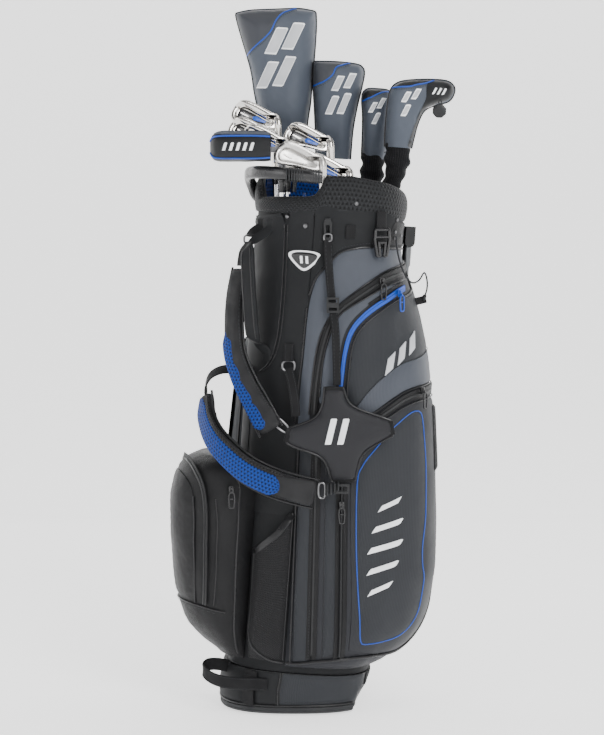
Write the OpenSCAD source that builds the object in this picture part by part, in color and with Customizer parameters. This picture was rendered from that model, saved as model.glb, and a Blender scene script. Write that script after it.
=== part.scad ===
// Golf stand bag with twelve clubs, head covers, carry strap and folding legs.
// Origin: centre of the base underside. +X: the side that the big pocket and legs are on.
// -Y: the face with the strap hub. +Z: up. Lengths in mm.

/* [Trunk] */
// Sideways lean of the trunk towards the legs, degrees
lean = 4.1; // [3.5:0.1:4.5]
// Half width of the fabric trunk, left to right
trunk_a = 121; // [120:0.5:122]
// Half depth of the fabric trunk, front to back
trunk_b = 108; // [107:0.5:109]
// Height of the top of the fabric trunk, along its axis
trunk_top = 825; // [815:1:830]
// Wall of the fabric trunk
trunk_wall = 2.5; // [1.5:0.5:3]

/* [Base] */
// Half width of the base foot
base_a = 127; // [126:1:130]
// Half depth of the base foot
base_b = 110; // [109:1:113]
// Height of the flat floor that the grips stand on
well_floor = 56; // [50:1:60]

/* [Collar] */
// Top of the collar at its highest, along the trunk's axis
collar_top = 892; // [888:1:896]
// Top of the low rim below the top handle
collar_low = 852; // [846:1:856]
// Half width of the opening
mouth_a = 112; // [111.5:0.5:113]
// Half depth of the opening
mouth_b = 103; // [102.5:0.5:104]

/* [Clubs] */
// Largest grip radius, at the butt
grip_r = 13.2; // [12:0.1:13.2]
// Length of a grip
grip_len = 265; // [250:1:280]
// Shaft radius at the grip
shaft_butt_r = 7.4; // [6.5:0.1:7.6]
// Shaft radius at the head
shaft_tip_r = 4.7; // [4.4:0.1:5]
// Lie angle of an iron, between shaft and sole
iron_lie = 62; // [60:0.5:64]
// Tilt of an iron's face from the shaft
iron_loft = 19; // [15:1:20]
// Wall of a head cover
cover_wall = 3; // [2:0.5:3]

/* [Pockets] */
// Furthest the big pocket stands off the trunk
big_depth = 97; // [90:1:99]
// Furthest the left pocket stands off the trunk
left_depth = 111; // [100:1:114]
// Furthest the rear pocket stands off the trunk
rear_depth = 56; // [40:1:62]
// Furthest the ball pocket stands off the trunk
ball_depth = 62; // [50:1:70]

/* [Stand] */
// Radius of a leg tube
leg_r = 6.5; // [5.5:0.1:7]
// Height of the leg pivots along the trunk's axis
pivot_w = 790; // [785:1:795]
// Radius of a leg pivot pin
pin_r = 3; // [2.5:0.1:3.2]

/* [Hidden] */

// Exponent of the trunk's rounded-oval section
oval_n = 2.6;
// Clearance between pieces of one body that lie against each other
lie_gap = 1.5;
// Points round an oval ring
ring_n = 40;

// Clubs that stand upright: [x, y, height of the heel above the ground]
iron_5 = [-28, 42, 986];
iron_6 = [-33, 15, 957];
iron_7 = [-12, -12, 944];
iron_8 = [60, 14, 948];
iron_9 = [50, -36.5, 906];
pitching_wedge = [91, -61.2, 895];
sand_wedge = [46, -86, 914];
putter = [-21, -61.4, 915];

// Clubs that lie along the trunk: [u, v, height of the hosel end along its axis]
driver = [-64, 78, 1080];
fairway = [-6, 80, 1010];
hybrid_4 = [62, 79, 985];
hybrid_5 = [95, 8, 985];

// ---- frames and rings -------------------------------------------------------

// A point given along the leaning trunk: u across, v deep, w up its axis
function on_lean(u, v, w) = [u * cos(lean) + w * sin(lean), v, w * cos(lean) - u * sin(lean)];

module leaned() {
    rotate([0, lean, 0]) children();
}

// Signed power, for rounded ovals
function spow(x, p) = sign(x) * pow(abs(x), p);

// Points of a rounded oval, counter-clockwise from +X
function oval(a, b, cu = 0, cv = 0, n = oval_n, count = ring_n) =
    [for (i = [0:count - 1]) let(t = 360 * i / count)
        [cu + a * spow(cos(t), 2 / n), cv + b * spow(sin(t), 2 / n)]];

// Distance from the axis to the trunk's surface at azimuth az
function trunk_r(az) =
    pow(pow(abs(cos(az)) / trunk_a, oval_n) + pow(abs(sin(az)) / trunk_b, oval_n), -1 / oval_n);

// A point that stands off the trunk's surface by out, at azimuth az
function off_trunk(az, out) = (trunk_r(az) + out) * [cos(az), sin(az)];

function lift(points, w) = [for (p = points) [p[0], p[1], w]];

// Value at w of a list of [w, value] pairs in rising order
function profile(pairs, w) = lookup(w, pairs);

// Closed solid through rings of points, counter-clockwise about the way they run.
// Where ring_closed is true, the last ring joins the first and there are no ends.
module loft(rings, ring_closed = false) {
    n = len(rings[0]);
    m = len(rings);
    last = ring_closed ? m - 1 : m - 2;
    sides = [for (i = [0:last]) for (j = [0:n - 1])
        let(a = i * n, b = ((i + 1) % m) * n, k = (j + 1) % n)
        each [[a + j, b + j, b + k], [a + j, b + k, a + k]]];
    ends = ring_closed ? [] : [
        [for (j = [0:n - 1]) j],
        [for (j = [n - 1:-1:0]) (m - 1) * n + j]];
    polyhedron(points = [for (r = rings) each r], faces = concat(sides, ends), convexity = 6);
}

function unit(v) = v / norm(v);

// Way that a path runs at its point i
function tangent(path, i) =
    unit(path[min(i + 1, len(path) - 1)] - path[max(i - 1, 0)]);

// Band swept along a path, its flat side facing away from the trunk's axis
module band(path, width, thick) {
    section = [[0.5, -0.3], [0.5, 0.3], [0.3, 0.5], [-0.3, 0.5],
        [-0.5, 0.3], [-0.5, -0.3], [-0.3, -0.5], [0.3, -0.5]];
    loft([for (i = [0:len(path) - 1])
        let(p = path[i], t = tangent(path, i), away = [p[0], p[1], 0],
            n = unit(away - (away * t) * t), s = cross(t, n))
        [for (q = section) p + n * q[0] * thick + s * q[1] * width]]);
}

// Round tube swept along a path, with eight sides
module cord_tube(path, radius) {
    loft([for (i = [0:len(path) - 1])
        let(p = path[i], t = tangent(path, i), n = unit(cross(t, [0.3, 1, 0.1])), s = cross(t, n))
        [for (k = [0:7]) p + radius * (n * cos(45 * k) + s * sin(45 * k))]]);
}

// Smooth curve through a list of points, steps pieces to each span
function smooth(points, steps) = let(last = len(points) - 1)
    [for (i = [0:last - 1]) for (j = [0:steps - 1])
        let(t = j / steps, a = points[max(i - 1, 0)], b = points[i],
            c = points[i + 1], d = points[min(i + 2, last)])
        0.5 * (2 * b + (c - a) * t + (2 * a - 5 * b + 4 * c - d) * t * t
            + (3 * b - a - 3 * c + d) * t * t * t),
     points[last]];

// ---- base and trunk ---------------------------------------------------------

// Base outline, cut off nearly straight on the side that the bag tips towards
function base_ring(grow, cut) =
    [for (p = oval(base_a + grow, base_b + grow)) [min(p[0], cut - pow(p[1] / 60, 2)), p[1]]];

module base_foot() {
    color("#18191b")
        loft([lift(base_ring(-4, 96), 0), lift(base_ring(0, 99), 4), lift(base_ring(0, 103), 11)]);
}

// Moulded cup that carries the trunk and the grips' butts
module base_tub() {
    rim = [for (p = oval(trunk_a + 3, trunk_b + 3)) on_lean(p[0], p[1], 68)];
    rim_in = [for (p = oval(trunk_a - 2, trunk_b - 2)) on_lean(p[0], p[1], 68)];
    color("#1f2022")
        loft([lift(base_ring(-1, 103), 11.3), lift(base_ring(0, 118), 36), rim, rim_in,
            lift(oval(trunk_a - 3, trunk_b - 3, 4), well_floor)]);
}

module body_shell() {
    inner_a = trunk_a - trunk_wall;
    inner_b = trunk_b - trunk_wall;
    color("#242527")
        leaned()
            loft([lift(oval(trunk_a, trunk_b), 69), lift(oval(trunk_a, trunk_b), trunk_top),
                lift(oval(inner_a, inner_b), trunk_top), lift(oval(inner_a, inner_b), 69)],
                ring_closed = true);
}

// Three stays that hold the collar off the base, just inside the fabric
module frame_stays() {
    stay_r = 3;
    color("#2c2d30")
        leaned()
            for (az = [90, 178, 340])
                translate(concat(off_trunk(az, -stay_r - trunk_wall - lie_gap), [72]))
                    cylinder(h = trunk_top - 74, r = stay_r, $fn = 24);
}

// Top of the collar at azimuth az: low under the top handle, falling to the right
function collar_z(az) =
    profile([[0, 866], [20, 872], [60, 884], [120, 890], [178, 884], [196, 868], [206, collar_low],
        [250, collar_low + 8], [258, collar_low + 12], [260, collar_top], [285, collar_top],
        [315, collar_top - 7], [345, 872], [360, 866]], az);

// Band that follows the collar between two ovals, from bottom up to its top edge
module collar_band(a_out, b_out, a_in, b_in, bottom, drop) {
    angles = concat([for (t = [0:9:252]) t], [257, 260.5], [for (t = [267:9:357]) t]);
    loft([for (t = angles)
        let(c = spow(cos(t), 2 / oval_n), s = spow(sin(t), 2 / oval_n),
            az = (atan2(b_out * s, a_out * c) + 360) % 360, top = collar_z(az) - drop)
        [[a_out * c, b_out * s, bottom], [a_in * c, b_in * s, bottom],
            [a_in * c, b_in * s, top], [a_out * c, b_out * s, top]]], ring_closed = true);
}

module collar_ring() {
    color("#202124")
        leaned()
            collar_band(mouth_a + 4, mouth_b + 3, mouth_a, mouth_b, trunk_top + 2, 3);
}

module collar_pad() {
    color("#1b1c1e")
        leaned()
            collar_band(124, 112, mouth_a + 4.5, mouth_b + 3.5, trunk_top + 2, 0);
}

// Grab bar that bridges the low part of the rim
module top_handle() {
    path = smooth([on_lean(-24, -109, 886), on_lean(-52, -110, 887), on_lean(-86, -101, 888),
        on_lean(-118, -79, 888), on_lean(-136, -48, 886), on_lean(-140, -18, 880),
        on_lean(-134, 6, 866)], 3);
    section = [[0.5, -0.25], [0.5, 0.25], [0.25, 0.5], [-0.25, 0.5],
        [-0.5, 0.25], [-0.5, -0.25], [-0.25, -0.5], [0.25, -0.5]];
    color("#151618")
        loft([for (i = [0:len(path) - 1])
            let(p = path[i], t = tangent(path, i), side = unit(cross(t, [0, 0, 1])),
                up = cross(side, t))
            [for (q = section) p + side * q[0] * 15 + up * q[1] * 21]]);
}

// Padded bars across the mouth, which part the clubs
module dividers() {
    bar_w = 826;
    bar_h = 34;
    color("#1450a8")
        leaned() {
            translate([-95, 58, bar_w]) cube([190, 6, bar_h]);
            translate([-48, -98, bar_w]) cube([7, 155.5, bar_h]);
            translate([61, -88, bar_w]) cube([7, 145.5, bar_h]);
            translate([-40, 64.5, bar_w]) cube([7, 34, bar_h]);
            translate([24, 64.5, bar_w]) cube([7, 34, bar_h]);
        }
}

// ---- pockets ----------------------------------------------------------------

// Ring of a pocket that lies on the trunk: outline gives [azimuth, stand-off] pairs
function pocket_ring(outline, grow, back, w) = lift(concat(
    [for (p = outline) off_trunk(p[0], lie_gap + back + p[1] * grow)],
    [for (i = [len(outline) - 1:-1:0]) off_trunk(outline[i][0], lie_gap + back)]), w);

// How far the big pocket stands off, as a share of big_depth, up the trunk
big_side = [[80, 0.1], [96, 0.36], [118, 0.64], [148, 0.83], [178, 0.93], [246, 1], [330, 0.96],
    [418, 0.87], [511, 0.76], [603, 0.6], [679, 0.37], [730, 0.15], [754, 0.04]];
big_front = [[80, 0.8], [118, 1], [560, 1], [679, 0.6], [754, 0.2]];
// [azimuth, share of big_depth, 0 on the front panel to 1 on the side]
big_outline = [[-101, 0.03, 0], [-97, 0.09, 0], [-89, 0.11, 0], [-80, 0.13, 0], [-71, 0.17, 0.1],
    [-62, 0.28, 0.3], [-53, 0.38, 0.6], [-44, 0.48, 0.8], [-35, 0.6, 1], [-26, 0.77, 1],
    [-18, 0.9, 1], [-10, 0.97, 1], [-3, 1, 1], [2, 0.97, 1], [5, 0.82, 1], [6, 0.4, 1], [6.5, 0.03, 1]];

module big_pocket() {
    color("#3c3e42")
        leaned()
            loft([for (k = big_side)
                let(w = k[0], front = profile(big_front, w))
                pocket_ring([for (p = big_outline)
                    [p[0], big_depth * p[1] * (front * (1 - p[2]) + k[1] * p[2])]], 1, 0, w)]);
}

left_side = [[84, 0.1], [94, 0.24], [106, 0.42], [132, 0.66], [165, 0.78], [209, 0.87], [276, 0.97],
    [345, 1], [392, 0.94], [410, 0.8], [416, 0.62]];
// [azimuth, share of left_depth]
left_outline = [[162, 0.03], [163, 0.3], [169, 0.74], [178, 0.95], [190, 1], [198, 0.97], [205, 0.88],
    [212, 0.75], [218, 0.6], [222.5, 0.4], [223.5, 0.03]];

module left_pocket() {
    color("#161719")
        leaned()
            loft([for (k = left_side) pocket_ring(left_outline, left_depth * k[1], 0, k[0])]);
}

// [azimuth, share of rear_depth]
rear_outline = [[84, 0.03], [86, 0.5], [94, 0.86], [106, 1], [120, 1], [134, 0.96], [146, 0.84],
    [154, 0.5], [156, 0.03]];
rear_side = [[150, 0.2], [164, 0.62], [200, 0.9], [280, 1], [420, 0.96], [540, 0.82], [600, 0.6],
    [632, 0.2]];

module rear_pocket() {
    color("#33353a")
        leaned()
            loft([for (k = rear_side) pocket_ring(rear_outline, rear_depth * k[1], 0, k[0])]);
}

// [azimuth, share of ball_depth]
ball_outline = [[25, 0.03], [26, 0.7], [31, 0.94], [38, 1], [45, 0.94], [50, 0.7], [51, 0.03]];
ball_side = [[96, 0.3], [110, 0.7], [150, 0.95], [230, 1], [320, 0.92], [362, 0.66], [378, 0.3]];

module ball_pocket() {
    color("#2a2b2e")
        leaned()
            loft([for (k = ball_side) pocket_ring(ball_outline, ball_depth * k[1], 13, k[0])]);
}

// Open-topped pouch on the front left of the trunk
mesh_outline = [[228, 1], [230, 12], [237, 20], [244, 22], [251, 18], [255.5, 11], [257, 1]];
// Height of the pouch's top edge at azimuth az
function mesh_top(az) = profile([[226, 262], [236, 276], [248, 302], [258, 340]], az);
function pouch_ring(shrink, w, share = 1) = let(outline = mesh_outline, back = lie_gap + 2 * shrink)
    [for (i = [0:2 * len(outline) - 1])
        let(front = i < len(outline), p = outline[front ? i : 2 * len(outline) - 1 - i],
            az = 242.5 + (p[0] - 242.5) * (1 - 0.07 * shrink),
            q = off_trunk(az, front ? back + max(p[1] * share - 3.4 * shrink, 0.3) : back))
        [q[0], q[1], w > 200 ? mesh_top(az) : w]];

module mesh_pocket() {
    color("#121314")
        leaned()
            loft([pouch_ring(0, 88, 0.5), pouch_ring(0, 112), pouch_ring(0, 250),
                pouch_ring(1, 250), pouch_ring(1, 112), pouch_ring(1, 92, 0.6)]);
}

// ---- carry strap, webbing and small hardware --------------------------------

// Centre of the hub pad, which faces the front
hub = [69, -136, 475];

module strap_hub() {
    outline = [[-20, 72], [-22, 46], [-36, 22], [-80, 4], [-84, -20], [-70, -28], [-22, -46], [-8, -84],
        [30, -82], [42, -36], [78, -14], [92, -8], [90, 18], [74, 24], [24, 42], [10, 72]];
    color("#1d1e20")
        translate(hub)
            rotate([90, 0, 0])
                linear_extrude(height = 12, center = true)
                    polygon(outline);
}

// Routes of the two shoulder pads, along their middles
pad_upper_path = [[-88, -78, 738], [-97, -86, 690], [-99, -94, 640], [-95, -103, 596],
    [-80, -114, 554], [-62, -125, 520], [-48, -133, 494], [-38, -138, 474]];
pad_lower_path = [[-146, -70, 528], [-143, -86, 492], [-130, -112, 462], [-106, -134, 436],
    [-76, -146, 412], [-40, -151, 394], [-2, -155, 382], [34, -157, 374]];

module strap_pad_upper() {
    color("#1d1e20")
        band(smooth(pad_upper_path, 2), 46, 16);
}

module strap_pad_lower() {
    color("#1d1e20")
        band(smooth(pad_lower_path, 2), 50, 16);
}

// Flat webbing: strap tails, the trunk's carry handle and the base handle
module webbing() {
    color("#1a1b1d") {
        band(smooth([[54, -117, 782], [56, -121, 735], [60, -124, 690], [66, -128, 640],
            [68, -132, 590], [69, -135, 549]], 2), 13, 2.4);
        band(smooth([[-74, -64, 780], [-84, -74, 765], [-88, -78, 741]], 2), 20, 3);
        band(smooth([[-70, -94, 780], [-76, -116, 764], [-75, -122, 720], [-72, -122, 670],
            [-68, -116, 630], [-60, -98, 614]], 3), 22, 5);
        band(smooth([[-96, -68, 566], [-122, -70, 562], [-140, -67, 552], [-147, -67, 537]], 2), 20, 3);
        band(smooth([[-126, -60, 66], [-146, -66, 72], [-150, -80, 66], [-130, -100, 56],
            [-98, -118, 54]], 3), 20, 3);
        band(smooth([[-10, -113, 575], [-4, -120, 550], [0, -125, 524], [2, -129, 498]], 2), 14, 2.4);
    }
}

// Metal and moulded hardware of the carry strap
module strap_buckles() {
    color("#3a3b3e") {
        translate([54, -116, 801])
            rotate([90, 0, 0])
                linear_extrude(height = 5, center = true)
                    difference() {
                        polygon([[-6, -17], [6, -17], [7, 10], [4, 18], [-4, 18], [-7, 10]]);
                        translate([-3, -13]) square([6, 20]);
                    }
        translate([62, -132, 679])
            rotate([90, 0, 0])
                linear_extrude(height = 4, center = true)
                    difference() {
                        square([20, 25], center = true);
                        translate([-7, -9]) square([14, 5]);
                        translate([-7, 4]) square([14, 5]);
                    }
        translate([77, -153, 382])
            rotate([90, 0, 0])
                linear_extrude(height = 4, center = true)
                    difference() {
                        square([24, 16], center = true);
                        square([16, 8], center = true);
                    }
    }
}

// Pivot of the hanging V-shaped buckle, on its short webbing
hanger_pivot = [142, -103, 800];

module hanger_buckle() {
    color("#101113")
        translate(hanger_pivot)
            rotate([90, 0, 30]) {
                rotate([0, 90, 0]) cylinder(h = 30, r = 3, center = true, $fn = 24);
                linear_extrude(height = 6, center = true)
                    difference() {
                        polygon([[-15, 0], [15, 0], [17, -26], [10, -36], [-10, -36], [-17, -26]]);
                        polygon([[-9, -8], [9, -8], [10, -24], [-10, -24]]);
                    }
            }
}

// Route of the elastic loop for the rain hood, from the collar to the pocket's edge
bungee_path = [[166, -84, 790], [168, -82, 768], [174, -76, 744], [184, -66, 722], [195, -52, 712],
    [207, -36, 716], [216, -22, 728], [221, -16, 716], [221, -16, 700], [216, -22, 686]];

module bungee_cord() {
    color("#1e1f21")
        cord_tube(smooth(bungee_path, 3), 1.4);
}

// Slider with its pull, lying on a face that looks towards -Y
module zip_slider() {
    translate([-4.5, -3, -6]) cube([9, 3, 12]);
    translate([-2, -5.5, -4]) cube([4, 2.5, 8]);
    translate([-3.5, -5.5, -26]) cube([7, 1.8, 22.2]);
}

// Place of each slider's back, and its turn about Z: [x, y, z, turn]
slider_chest = [141.5, -103, 716, 30];
slider_curved = [171, -82.5, 696, 46];
slider_side = [210, -72.5, 535, 51];
slider_left = [-104, -119.5, 376, 8];
slider_front = [77, -130, 352, 0];

module slider_at(at) {
    translate([at[0], at[1], at[2]])
        rotate([0, 0, at[3]])
            zip_slider();
}

module zip_slider_chest() {
    color("#0d0e0f") slider_at(slider_chest);
}

module zip_slider_curved() {
    color("#1f55c4") slider_at(slider_curved);
}

module zip_slider_side() {
    color("#0d0e0f") slider_at(slider_side);
}

module zip_slider_left() {
    color("#0d0e0f") slider_at(slider_left);
}

module zip_slider_front() {
    color("#0d0e0f") slider_at(slider_front);
}

// Raised coils of the two upright zips on the front panel, [x, y of the face]
module zip_tracks() {
    color("#0f1011")
        for (at = [[33, -124], [77, -128]])
            translate([at[0] - 2.5, at[1] - 1.6, 100]) cube([5, 1.6, 240]);
}

// ---- stand ------------------------------------------------------------------

// Pivots of the legs on the trunk, [u, v], and the way that each leg swings
near_pivot = [134, 27];
far_pivot = [58, 116];
near_swing = 23;
far_swing = 53;
// Half width of a leg's eye, and the play on each side of it
eye_half = 6;
eye_play = 0.4;

module at_pivot(pivot, swing) {
    leaned()
        translate([pivot[0], pivot[1], pivot_w])
            rotate([0, 0, swing - 90])
                children();
}

// Leg tube with an eye at the top and a rubber foot; local X is its hinge axis
module leg() {
    difference() {
        union() {
            rotate([0, 90, 0]) cylinder(h = 2 * eye_half, r = 9, center = true, $fn = 32);
            translate([0, 0, -690]) cylinder(h = 690, r = leg_r - 0.6, $fn = 24);
        }
        rotate([0, 90, 0]) cylinder(h = 40, r = pin_r + 0.3, center = true, $fn = 24);
    }
    translate([0, 0, -712]) cylinder(h = 34, r1 = 8, r2 = 9.5, $fn = 24);
}

module leg_near() {
    color("#2a2b2d") at_pivot(near_pivot, near_swing) leg();
}

module leg_far() {
    color("#2a2b2d") at_pivot(far_pivot, far_swing) leg();
}

// Two lugs with pins, on a plate behind the collar
module leg_bracket() {
    color("#121315")
        for (p = [[near_pivot, near_swing], [far_pivot, far_swing]])
            at_pivot(p[0], p[1]) {
                for (side = [-1, 1])
                    translate([side * (eye_half + eye_play + 2), 0, 0]) {
                        rotate([0, 90, 0]) cylinder(h = 4, r = 9, center = true, $fn = 32);
                        translate([-2, -9, 0]) cube([4, 18, 22]);
                    }
                translate([-10.4, -9, 12]) cube([20.8, 18, 14]);
                rotate([0, 90, 0]) cylinder(h = 18, r = pin_r, center = true, $fn = 24);
            }
}

// Rod that pushes the legs out as the base tips
module actuator_rod() {
    rod_r = 3;
    color("#8a8c90")
        leaned()
            translate(concat(off_trunk(38, 7), [74])) {
                cylinder(h = 340, r = rod_r, $fn = 24);
                translate([0, 0, 340]) sphere(r = rod_r + 1.5, $fn = 24);
            }
}

// ---- clubs ------------------------------------------------------------------

// Grip and shaft, standing on the origin; top is the length up to the shaft's tip
module grip_and_shaft(top) {
    cylinder(h = 6, r1 = grip_r - 1.2, r2 = grip_r, $fn = 32);
    translate([0, 0, 6]) cylinder(h = grip_len - 6, r1 = grip_r, r2 = shaft_butt_r + 1.4, $fn = 32);
    translate([0, 0, grip_len])
        cylinder(h = top - grip_len, r1 = shaft_butt_r, r2 = shaft_tip_r, $fn = 24);
}

hosel_len = 58;
hosel_r = 6.6;

// Along-blade stations of an iron: [distance from heel, sole drop, blade height]
iron_stations = [[-5, 5, 14], [0, 2, 21], [6, 0.5, 25], [14, 0, 27], [26, 0, 30], [38, 0, 34],
    [50, 0, 38.5], [58, 1, 40.5], [64, 3, 40], [69, 6.5, 35.5], [72.5, 12, 26], [74, 18, 14]];

// Section of an iron head, as [height below the sole, thickness behind the face]
function iron_section(h, cavity) =
    let(sole = 6 + 9 * min(1, h / 28), rim = 4.8, floor_t = cavity ? 2.6 : rim)
    [[h, 0], [h, rim - 1], [h - 4, rim], [h - 5.5, floor_t], [min(11, h * 0.45), floor_t],
        [min(8, h * 0.35), sole * 0.86], [1.5, sole], [0, sole - 2], [0, 1.2], [0.8, 0]];

module iron_head() {
    along = [-sin(iron_lie), 0, cos(iron_lie)];
    flat_down = [-cos(iron_lie), 0, -sin(iron_lie)];
    back = [0, -1, 0];
    down = flat_down * cos(iron_loft) + back * sin(iron_loft);
    out = back * cos(iron_loft) - flat_down * sin(iron_loft);
    last = len(iron_stations) - 1;
    rings = [for (i = [0:last])
        let(s = iron_stations[i], cavity = i > 2 && i < last - 1)
        [for (q = iron_section(s[2], cavity))
            [0, 9.4, 0] + along * s[0] + down * (s[1] + q[0]) + out * q[1]]];
    translate([0, 0, -hosel_len]) cylinder(h = hosel_len - 2, r1 = hosel_r - 0.4, r2 = hosel_r, $fn = 32);
    translate([0, 0, -4]) sphere(r = hosel_r, $fn = 32);
    loft(rings);
}

module iron_at(club) {
    translate([club[0], club[1], club[2]]) iron_head();
}

module upright_shaft(club) {
    translate([club[0], club[1], well_floor + 0.6])
        grip_and_shaft(club[2] - hosel_len - 0.3 - well_floor - 0.6);
}

// Wood head, upside down: rings rise from the hosel to the sole.
// Each row is [height, centre u, centre v, half width, half depth]
module wood_head(club, rows) {
    translate([club[0], club[1], club[2]]) {
        loft([for (r = rows) lift(oval(r[3], r[4], r[1], r[2], 2.3, 28), r[0])]);
        translate([0, 0, -26]) cylinder(h = 34, r = 6.8, $fn = 32);
    }
}

driver_rows = [[0, -6, 2, 10, 10], [8, -25, 8, 28, 18], [24, -50, 15, 51, 31],
    [44, -54, 18, 59, 36], [58, -54, 18, 57, 35], [68, -52, 17, 46, 29], [73, -50, 16, 26, 16]];
fairway_rows = [[0, 0, 1, 10, 9], [8, 1, 3, 20, 16], [22, 2, 5, 26, 24],
    [38, 2, 6, 28, 26], [48, 2, 6, 24, 22], [53, 2, 6, 13, 11]];
hybrid_4_rows = [[0, 0, 0, 10, 9], [8, 2, 0, 14, 17], [20, 4, 0, 18, 23],
    [34, 4, 0, 18.5, 24], [42, 4, 0, 15, 19], [46, 4, 0, 8, 11]];
hybrid_5_rows = [[0, 4, 0, 10, 9], [10, 24, 1, 28, 15], [22, 38, 1, 42, 20],
    [34, 43, 1, 45, 21], [43, 44, 1, 40, 17], [48, 45, 1, 24, 10]];

module leaned_shaft(club) {
    leaned()
        translate([club[0], club[1], well_floor + 10])
            grip_and_shaft(club[2] - 26.3 - well_floor - 10);
}

// Head cover: a cup that opens downwards.
// Rows are [w, centre u, centre v, half width, half depth], from the mouth up
function cover_ring(r, inset) = lift(oval(r[3] - inset, r[4] - inset, r[1], r[2], 3, 28), r[0]);
module cover(rows) {
    n = len(rows);
    loft(concat(
        [for (i = [n - 2:-1:0]) cover_ring(rows[i], cover_wall)],
        [for (r = rows) cover_ring(r, 0)]));
}

driver_cover_rows = [[1012, -117, 96, 69, 41.5], [1090, -117, 96, 69.5, 41.5],
    [1130, -117, 96, 70, 42], [1158, -117.5, 96, 69.5, 41], [1168, -117, 96, 62, 33]];
fairway_cover_rows = [[958, -5, 86, 36, 33], [1040, -3, 86, 37.5, 33.5],
    [1070, -1, 86, 39, 34], [1082, -1, 86, 34, 27]];
hybrid_4_cover_rows = [[930, 66, 79, 23.5, 28.5], [1010, 66, 79, 23.5, 28.5],
    [1036, 67, 79, 24, 28], [1045, 67, 79, 19, 22]];
hybrid_5_cover_rows = [[950, 137.5, 8, 54, 27], [1030, 137.5, 8, 56, 27.5],
    [1052, 138, 8, 56.5, 27], [1064, 134, 8, 48, 20]];

module driver_head() {
    color("#26282b") leaned() wood_head(driver, driver_rows);
}

module driver_shaft() {
    color("#35373a") leaned_shaft(driver);
}

module driver_cover() {
    color("#585f67") leaned() cover(driver_cover_rows);
}

module fairway_head() {
    color("#26282b") leaned() wood_head(fairway, fairway_rows);
}

module fairway_shaft() {
    color("#35373a") leaned_shaft(fairway);
}

module fairway_cover() {
    color("#585f67") leaned() cover(fairway_cover_rows);
}

module hybrid_4_head() {
    color("#26282b") leaned() wood_head(hybrid_4, hybrid_4_rows);
}

module hybrid_4_shaft() {
    color("#35373a") leaned_shaft(hybrid_4);
}

module hybrid_4_cover() {
    color("#585f67") leaned() cover(hybrid_4_cover_rows);
}

module hybrid_5_head() {
    color("#26282b") leaned() wood_head(hybrid_5, hybrid_5_rows);
}

module hybrid_5_shaft() {
    color("#35373a") leaned_shaft(hybrid_5);
}

module hybrid_5_cover() {
    color("#585f67") leaned() cover(hybrid_5_cover_rows);
}

// Octagonal tag that hangs from the nose of a cover
tag_pivot = [168, -24, 1020];
module cover_tag() {
    color("#222326")
        leaned()
            translate(tag_pivot)
                rotate([90, 0, 0])
                    difference() {
                        translate([0, -8.5, 0])
                            rotate([0, 0, 22.5])
                                cylinder(h = 3, r = 12.5, center = true, $fn = 8);
                        cylinder(h = 8, r = 1.6, center = true, $fn = 16);
                    }
}

// Mallet head, lying to the left of its shaft: rows are [x, centre y, half depth, low z, high z]
putter_rows = [[-30, -25, 24, 11, 30], [-36, -25, 29, 9, 32], [-50, -25, 31, 8, 34], [-70, -25, 30, 8, 34],
    [-90, -25, 26, 8, 34], [-102, -25, 18, 9, 33], [-106, -25, 10, 11, 31]];
putter_cover_rows = [[-18, -25, 37, -2, 42], [-50, -25, 37, -4, 44], [-72, -25, 36, -4, 44],
    [-94, -25, 32, -4, 44], [-109, -25, 23, -2, 42], [-116, -25, 12, 4, 36]];

// Upright ring of a mallet row, counter-clockwise about -X
function mallet_ring(r, inset) =
    let(d = r[2] - inset, h = (r[4] - r[3]) / 2 - inset, z = (r[3] + r[4]) / 2)
    [for (p = oval(d, h, 0, 0, 4, 20)) [r[0], r[1] - p[0], z + p[1]]];

module putter_head() {
    color("#3b3d40")
        translate(putter) {
            loft([for (r = putter_rows) mallet_ring(r, 0)]);
            translate([-35, -4.5, 12]) cube([36, 9, 9]);
            translate([0, 0, -30]) cylinder(h = 51, r = 6, $fn = 32);
        }
}

module putter_cover() {
    n = len(putter_cover_rows);
    color("#17181a")
        translate(putter)
            loft(concat(
                [for (i = [n - 2:-1:0]) mallet_ring(putter_cover_rows[i], cover_wall)],
                [for (r = putter_cover_rows) mallet_ring(r, 0)]));
}

module putter_shaft() {
    color("#d9d9d9") upright_shaft(putter + [0, 0, 28]);
}

module iron_5_head() {
    color("#d8d4cc") iron_at(iron_5);
}

module iron_5_shaft() {
    color("#d9d9d9") upright_shaft(iron_5);
}

module iron_6_head() {
    color("#d8d4cc") iron_at(iron_6);
}

module iron_6_shaft() {
    color("#d9d9d9") upright_shaft(iron_6);
}

module iron_7_head() {
    color("#d8d4cc") iron_at(iron_7);
}

module iron_7_shaft() {
    color("#d9d9d9") upright_shaft(iron_7);
}

module iron_8_head() {
    color("#d8d4cc") iron_at(iron_8);
}

module iron_8_shaft() {
    color("#d9d9d9") upright_shaft(iron_8);
}

module iron_9_head() {
    color("#d8d4cc") iron_at(iron_9);
}

module iron_9_shaft() {
    color("#d9d9d9") upright_shaft(iron_9);
}

module pitching_wedge_head() {
    color("#d8d4cc") iron_at(pitching_wedge);
}

module pitching_wedge_shaft() {
    color("#d9d9d9") upright_shaft(pitching_wedge);
}

module sand_wedge_head() {
    color("#c9c7c2") iron_at(sand_wedge);
}

module sand_wedge_shaft() {
    color("#d9d9d9") upright_shaft(sand_wedge);
}

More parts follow.
